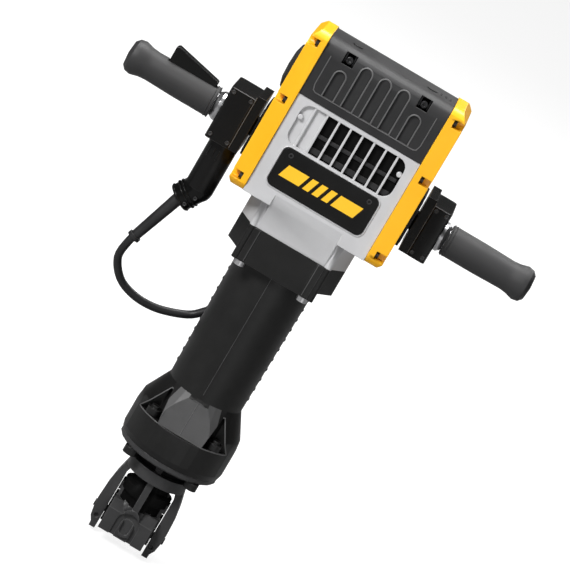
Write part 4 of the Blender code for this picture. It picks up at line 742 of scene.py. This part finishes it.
# ------------------------------------------------------------------------- side covers
# Two deep yellow mouldings that close the sides of the motor housing. Each is held by cap
# screws that sit in notches along its front and back edges.
yellow_moulding = surface(
    "yellow_moulding", (0.96, 0.43, 0.004), (1.0, 0.52, 0.008), (0.30, 0.42), grain=1100, depth=0.00004,
    dust=0.01, patch=14, edge=0.002, edge_wear_and_highlight=(1.0, 0.66, 0.06), shine=0.4,
)
NOTCHES = (522.6, 636.6, 720.9)
for side, name in ((-1, "side_cover_left"), (1, "side_cover_right")):
    cover = soften(take(name, name + "_finished"))
    lay(cover, yellow_moulding, "housing", "yellow_plastic", name)
    heads = []
    for z in NOTCHES:
        heads.append(socket_head((side * 98.8, -80.6, z), "X", 4.6, side * 5))
        if z != NOTCHES[-1]:
            heads.append(socket_head((side * 98.8, 70.6, z), "X", 4.6, side * 5))
    lay(gather(name + "_screws", heads), dark_steel, "housing", "dark_steel")

# --------------------------------------------------------------------------- top cover
# The black lid over the motor. Its front has a shallow panel with five moulded flutes, and
# two screws sit in square pockets; small vent holes are grouped at one end of its top. A round
# cap closes the motor's outer bearing, on the left.
COVER_TOP = 737.9
COVER_FRONT_Y = -86
CURVE_R = 24
FLUTE_R = 8.3
FLUTE_LOW = 665
FLUTE_STEP = 6
lid = take("top_cover", "motor_lid")
for x in (68, 75, 82):
    for y in (-48, -38):
        carve(lid, block("vent_hole", (x - 1.6, y - 2.5, 730), (x + 1.6, y + 2.5, 745)))
soften(lid)
lay(lid, cover_black, "housing", "cover_plastic", "top_cover")


def lid_front(z):
    """How far forward the lid's skin stands at a height."""
    over = z - (COVER_TOP - CURVE_R)
    return COVER_FRONT_Y + (CURVE_R - math.sqrt(CURVE_R**2 - over**2) if over > 0 else 0)


# The outlines of the flutes and of the panel are beads in a light grey: painted highlights along their edges.
for k in range(-2, 3):
    x = 27.5 * k
    high = COVER_TOP - (12 if abs(k) < 2 else 32) - FLUTE_R
    heights = [FLUTE_LOW + FLUTE_STEP * j for j in range(int((high - FLUTE_LOW) / FLUTE_STEP) + 1)]
    line = [(x - FLUTE_R, lid_front(z), z) for z in heights]
    for step in range(13):
        turn = math.radians(180 - 15 * step)
        z = high + FLUTE_R * math.sin(turn)
        line.append((x + FLUTE_R * math.cos(turn), lid_front(z), z))
    line += [(x + FLUTE_R, lid_front(z), z) for z in reversed(heights)]
    bead(f"flute_edge_{k + 3}", line, 1.1, finish=painted_highlight_line, slot="cover_plastic")
panel = [(-78, lid_front(z), z) for z in range(716, 670, -FLUTE_STEP)]
panel += [(x, COVER_FRONT_Y, z) for x, z in ((-76, 667), (-72, 665), (72, 665), (76, 667))]
panel += [(78, lid_front(z), z) for z in range(674, 722, FLUTE_STEP)]
bead("panel_edge", panel, 0.8, finish=painted_highlight_line, slot="cover_plastic")
parts = []
for x in (-55, 55):
    parts.append(socket_head((x, -71, 720.9), "Y", 4.8, -5))
    parts.append(block("rib", (x - 7, -74, 716), (x - 5.4, -70.5, 730)))
    parts.append(block("rib", (x + 5.4, -74, 716), (x + 7, -70.5, 730)))
lay(gather("lid_screws", parts), dark_steel, "housing", "dark_steel")
bosses = [soften(drum("boss", (x, -46, 737.6), 7.5, 2.0, "Z", 28), 0.0008) for x in (-55, 55)]
lay(gather("lid_bosses", bosses), cover_black, "housing", "cover_plastic")
cap = soften(take("motor_end_cap", "bearing_cap"))
lay(cap, cover_black, "housing", "cover_plastic", "motor_end_cap")

# ----------------------------------------------------------------------------- handles
# Each handle is a glossy moulded block that rocks on a pin beside the housing, a plated
# steel tube, and a rubber grip pushed over the tube. A flat plate backs each block, and the
# left handle has the switch paddle.
gloss_black = surface(
    "gloss_black", (0.003, 0.003, 0.003), (0.006, 0.006, 0.006), (0.14, 0.26), grain=900, depth=0.00003,
    dust=0.004, edge=0.0016, edge_wear_and_highlight=(0.09, 0.09, 0.09), shine=0.2,
)
grip_rubber = surface(
    "grip_rubber", (0.020, 0.020, 0.021), (0.032, 0.032, 0.033), (0.5, 0.65), grain=1600, depth=0.00012,
    dust=0.015, edge=0.001, edge_wear_and_highlight=(0.07, 0.07, 0.07), shine=0.4,
)
HANDLE_Z = 569.9
RING_R = 21.7
for side, name, out in ((-1, "left", 170), (1, "right", 160)):
    body = name + "_handle"
    hub = soften(take(name + "_handle_block", name + "_block"))
    lay(hub, gloss_black, body, "gloss_black", name + "_handle_block")
    # Thin seam beads on the block are in a light grey: painted highlights.
    lines = []
    inner = side * 134.5
    outer = side * (out - 3)
    lines.append(bead("seam", [(inner, -34.1, 535), (inner, -34.1, 611)], 0.5))
    lines.append(bead("seam", [(inner, -34.1, 607), (outer, -34.1, 607)], 0.5))
    lay(gather(name + "_block_seams", lines), painted_highlight_line, body, "gloss_black")
    heads = []
    for x, z in ((out - 5.5, 539), (out - 5.5, 602), (139, 539), (139, 602)):
        heads.append(socket_head((side * x, -33.8, z), "Y", 2.9, -1.6))
    lay(gather(name + "_block_screws", heads), dark_steel, body, "dark_steel")
    grip = soften(take(name + "_grip", name + "_grip_finished"))
    lay(grip, grip_rubber, body, "grip_rubber", name + "_grip")
    tube = soften(take(name + "_grip_tube", name + "_tube_finished"))
    lay(tube, bright_steel, body, "steel", name + "_grip_tube")
    rings = []
    for along in (12, 16):
        ring = []
        for step in range(28):
            turn = 2 * math.pi * step / 28
            ring.append((side * (out + along), RING_R * math.cos(turn), HANDLE_Z + RING_R * math.sin(turn)))
        rings.append(bead("ring", ring, 0.7, closed=True))
    lay(gather(name + "_grip_rings", rings), grip_rubber, body, "grip_rubber")
    low_x, high_x = sorted((side * 114.4, side * 118.8))
    backing = soften(block(name + "_backing_plate", (low_x, -30, 535), (high_x, 30, 611)), 0.001)
    lay(backing, gloss_black, "housing", "gloss_black")
    for node, finish, slot in (
        (name + "_handle_mount", dark_steel, "dark_steel"),
        (name + "_pivot_pin", bright_steel, "steel"),
    ):
        lay(soften(take(node, node + "_finished")), finish, frame["nodes"][node]["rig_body"], slot, node)

paddle = soften(take("trigger", "switch_paddle"))
lay(paddle, gloss_black, "trigger", "gloss_black", "trigger")

# ------------------------------------------------------- cord elbow and strain relief
# A moulded elbow under the left handle turns the cord outwards; a split clamp with two
# screws holds the rubber strain relief, which tapers down to the cord.
elbow = soften(take("cord_elbow", "elbow"))
lay(elbow, gloss_black, "left_handle", "gloss_black", "cord_elbow")
ELBOW_TURN = Vector((-143, 0, 461.4))
ELBOW_WAY = Vector((-math.sin(math.radians(32)), 0, -math.cos(math.radians(32))))
across = Vector((0, 1, 0)).cross(ELBOW_WAY)
clamp = []
for along, radius in ((14, 19.4), (19, 19.8), (27.6, 19.2)):
    ring = []
    for step in range(28):
        turn = 2 * math.pi * step / 28
        spot = ELBOW_TURN + ELBOW_WAY * along + across * radius * math.cos(turn)
        ring.append(spot + Vector((0, radius * math.sin(turn), 0)))
    clamp.append(bead("clamp_ring", ring, 1.2, closed=True))
ELBOW_R = 20
for k in range(3):
    x = -156 + 7 * k
    front_y = -math.sqrt(ELBOW_R**2 - (x - ELBOW_TURN.x) ** 2) - 0.2
    clamp.append(bead("rib", [(x, front_y, 508), (x, front_y, 522)], 0.8))
lay(gather("elbow_clamp", clamp), gloss_black, "left_handle", "gloss_black")
heads = []
for along in (8, 24):
    spot = ELBOW_TURN + ELBOW_WAY * along - across * 9
    heads.append(socket_head((spot.x, -15.6, spot.z), "Y", 2.6, -3))
lay(gather("clamp_screws", heads), dark_steel, "left_handle", "dark_steel")
relief = soften(take("strain_relief", "cord_relief"))
lay(relief, cord_sheath, "left_handle", "cord_rubber", "strain_relief")
RELIEF_START = Vector((-159, 0, 435.7))
RELIEF_RIB_R = 7.1
relief_side = Vector((0, 1, 0)).cross(lean)
ribs = []
for k in range(6):
    ring = []
    for step in range(20):
        turn = 2 * math.pi * step / 20
        spot = RELIEF_START + lean * (26 + 8 * k) + relief_side * RELIEF_RIB_R * math.cos(turn)
        ring.append(spot + Vector((0, RELIEF_RIB_R * math.sin(turn), 0)))
    ribs.append(bead("relief_rib", ring, 0.5, closed=True))
lay(gather("relief_ribs", ribs), cord_sheath, "left_handle", "cord_rubber")

# --------------------------------------------------------------------------------- tie
# A rubber tie with a peg holds the turns of the hank against the barrel. It is made of the
# same rubber as the cord's sheath.
lay(soften(take("cord_tie", "rubber_tie")), cord_sheath, "housing", "cord_rubber", "cord_tie")

# --------------------------------------------------------------------------- internals
# The motor, the gears and the hammer keep the frame's own shapes and take real finishes:
# ground and blackened steel, copper, moulded fan, and the bare castings that carry them.
# So does the cord's moulded rubber plug, which hangs behind the hank.
copper_wire = surface(
    "copper_wire", (0.42, 0.17, 0.06), (0.62, 0.28, 0.12), (0.3, 0.48), metal=1.0, grain=1200, depth=0.0001,
    dust=0.0, edge=0.0004, edge_wear_and_highlight=(0.8, 0.5, 0.3),
)
fan_moulding = surface(
    "fan_moulding", (0.02, 0.02, 0.022), (0.04, 0.04, 0.042), (0.4, 0.55), grain=900, depth=0.00005,
    dust=0.08, edge=0.0004, edge_wear_and_highlight=(0.1, 0.1, 0.1),
)
bare_casting = surface(
    "bare_casting", (0.30, 0.30, 0.31), (0.42, 0.42, 0.43), (0.45, 0.6), metal=0.7, grain=500, depth=0.0002,
    dust=0.05, edge=0.0008, edge_wear_and_highlight=(0.6, 0.6, 0.6),
)
for finish, nodes in (
    (dark_steel, ("armature_core", "field_core", "brush_back", "brush_front", "piston", "wrist_pin")),
    (bright_steel, ("armature_shaft", "idler_gear", "crankshaft", "connecting_rod", "striker", "anvil")),
    (bright_steel, ("crank_bearing_inner", "crank_bearing_outer", "motor_bearing_left", "motor_bearing_right")),
    (bare_casting, ("gear_plate", "crank_web", "cylinder", "anvil_guide")),
    (copper_wire, ("commutator",)),
    (fan_moulding, ("cooling_fan",)),
    (cord_sheath, ("plug",)),
):
    for node in nodes:
        for holder_slot in frame["nodes"][node].material_slots:
            holder_slot.material = finish
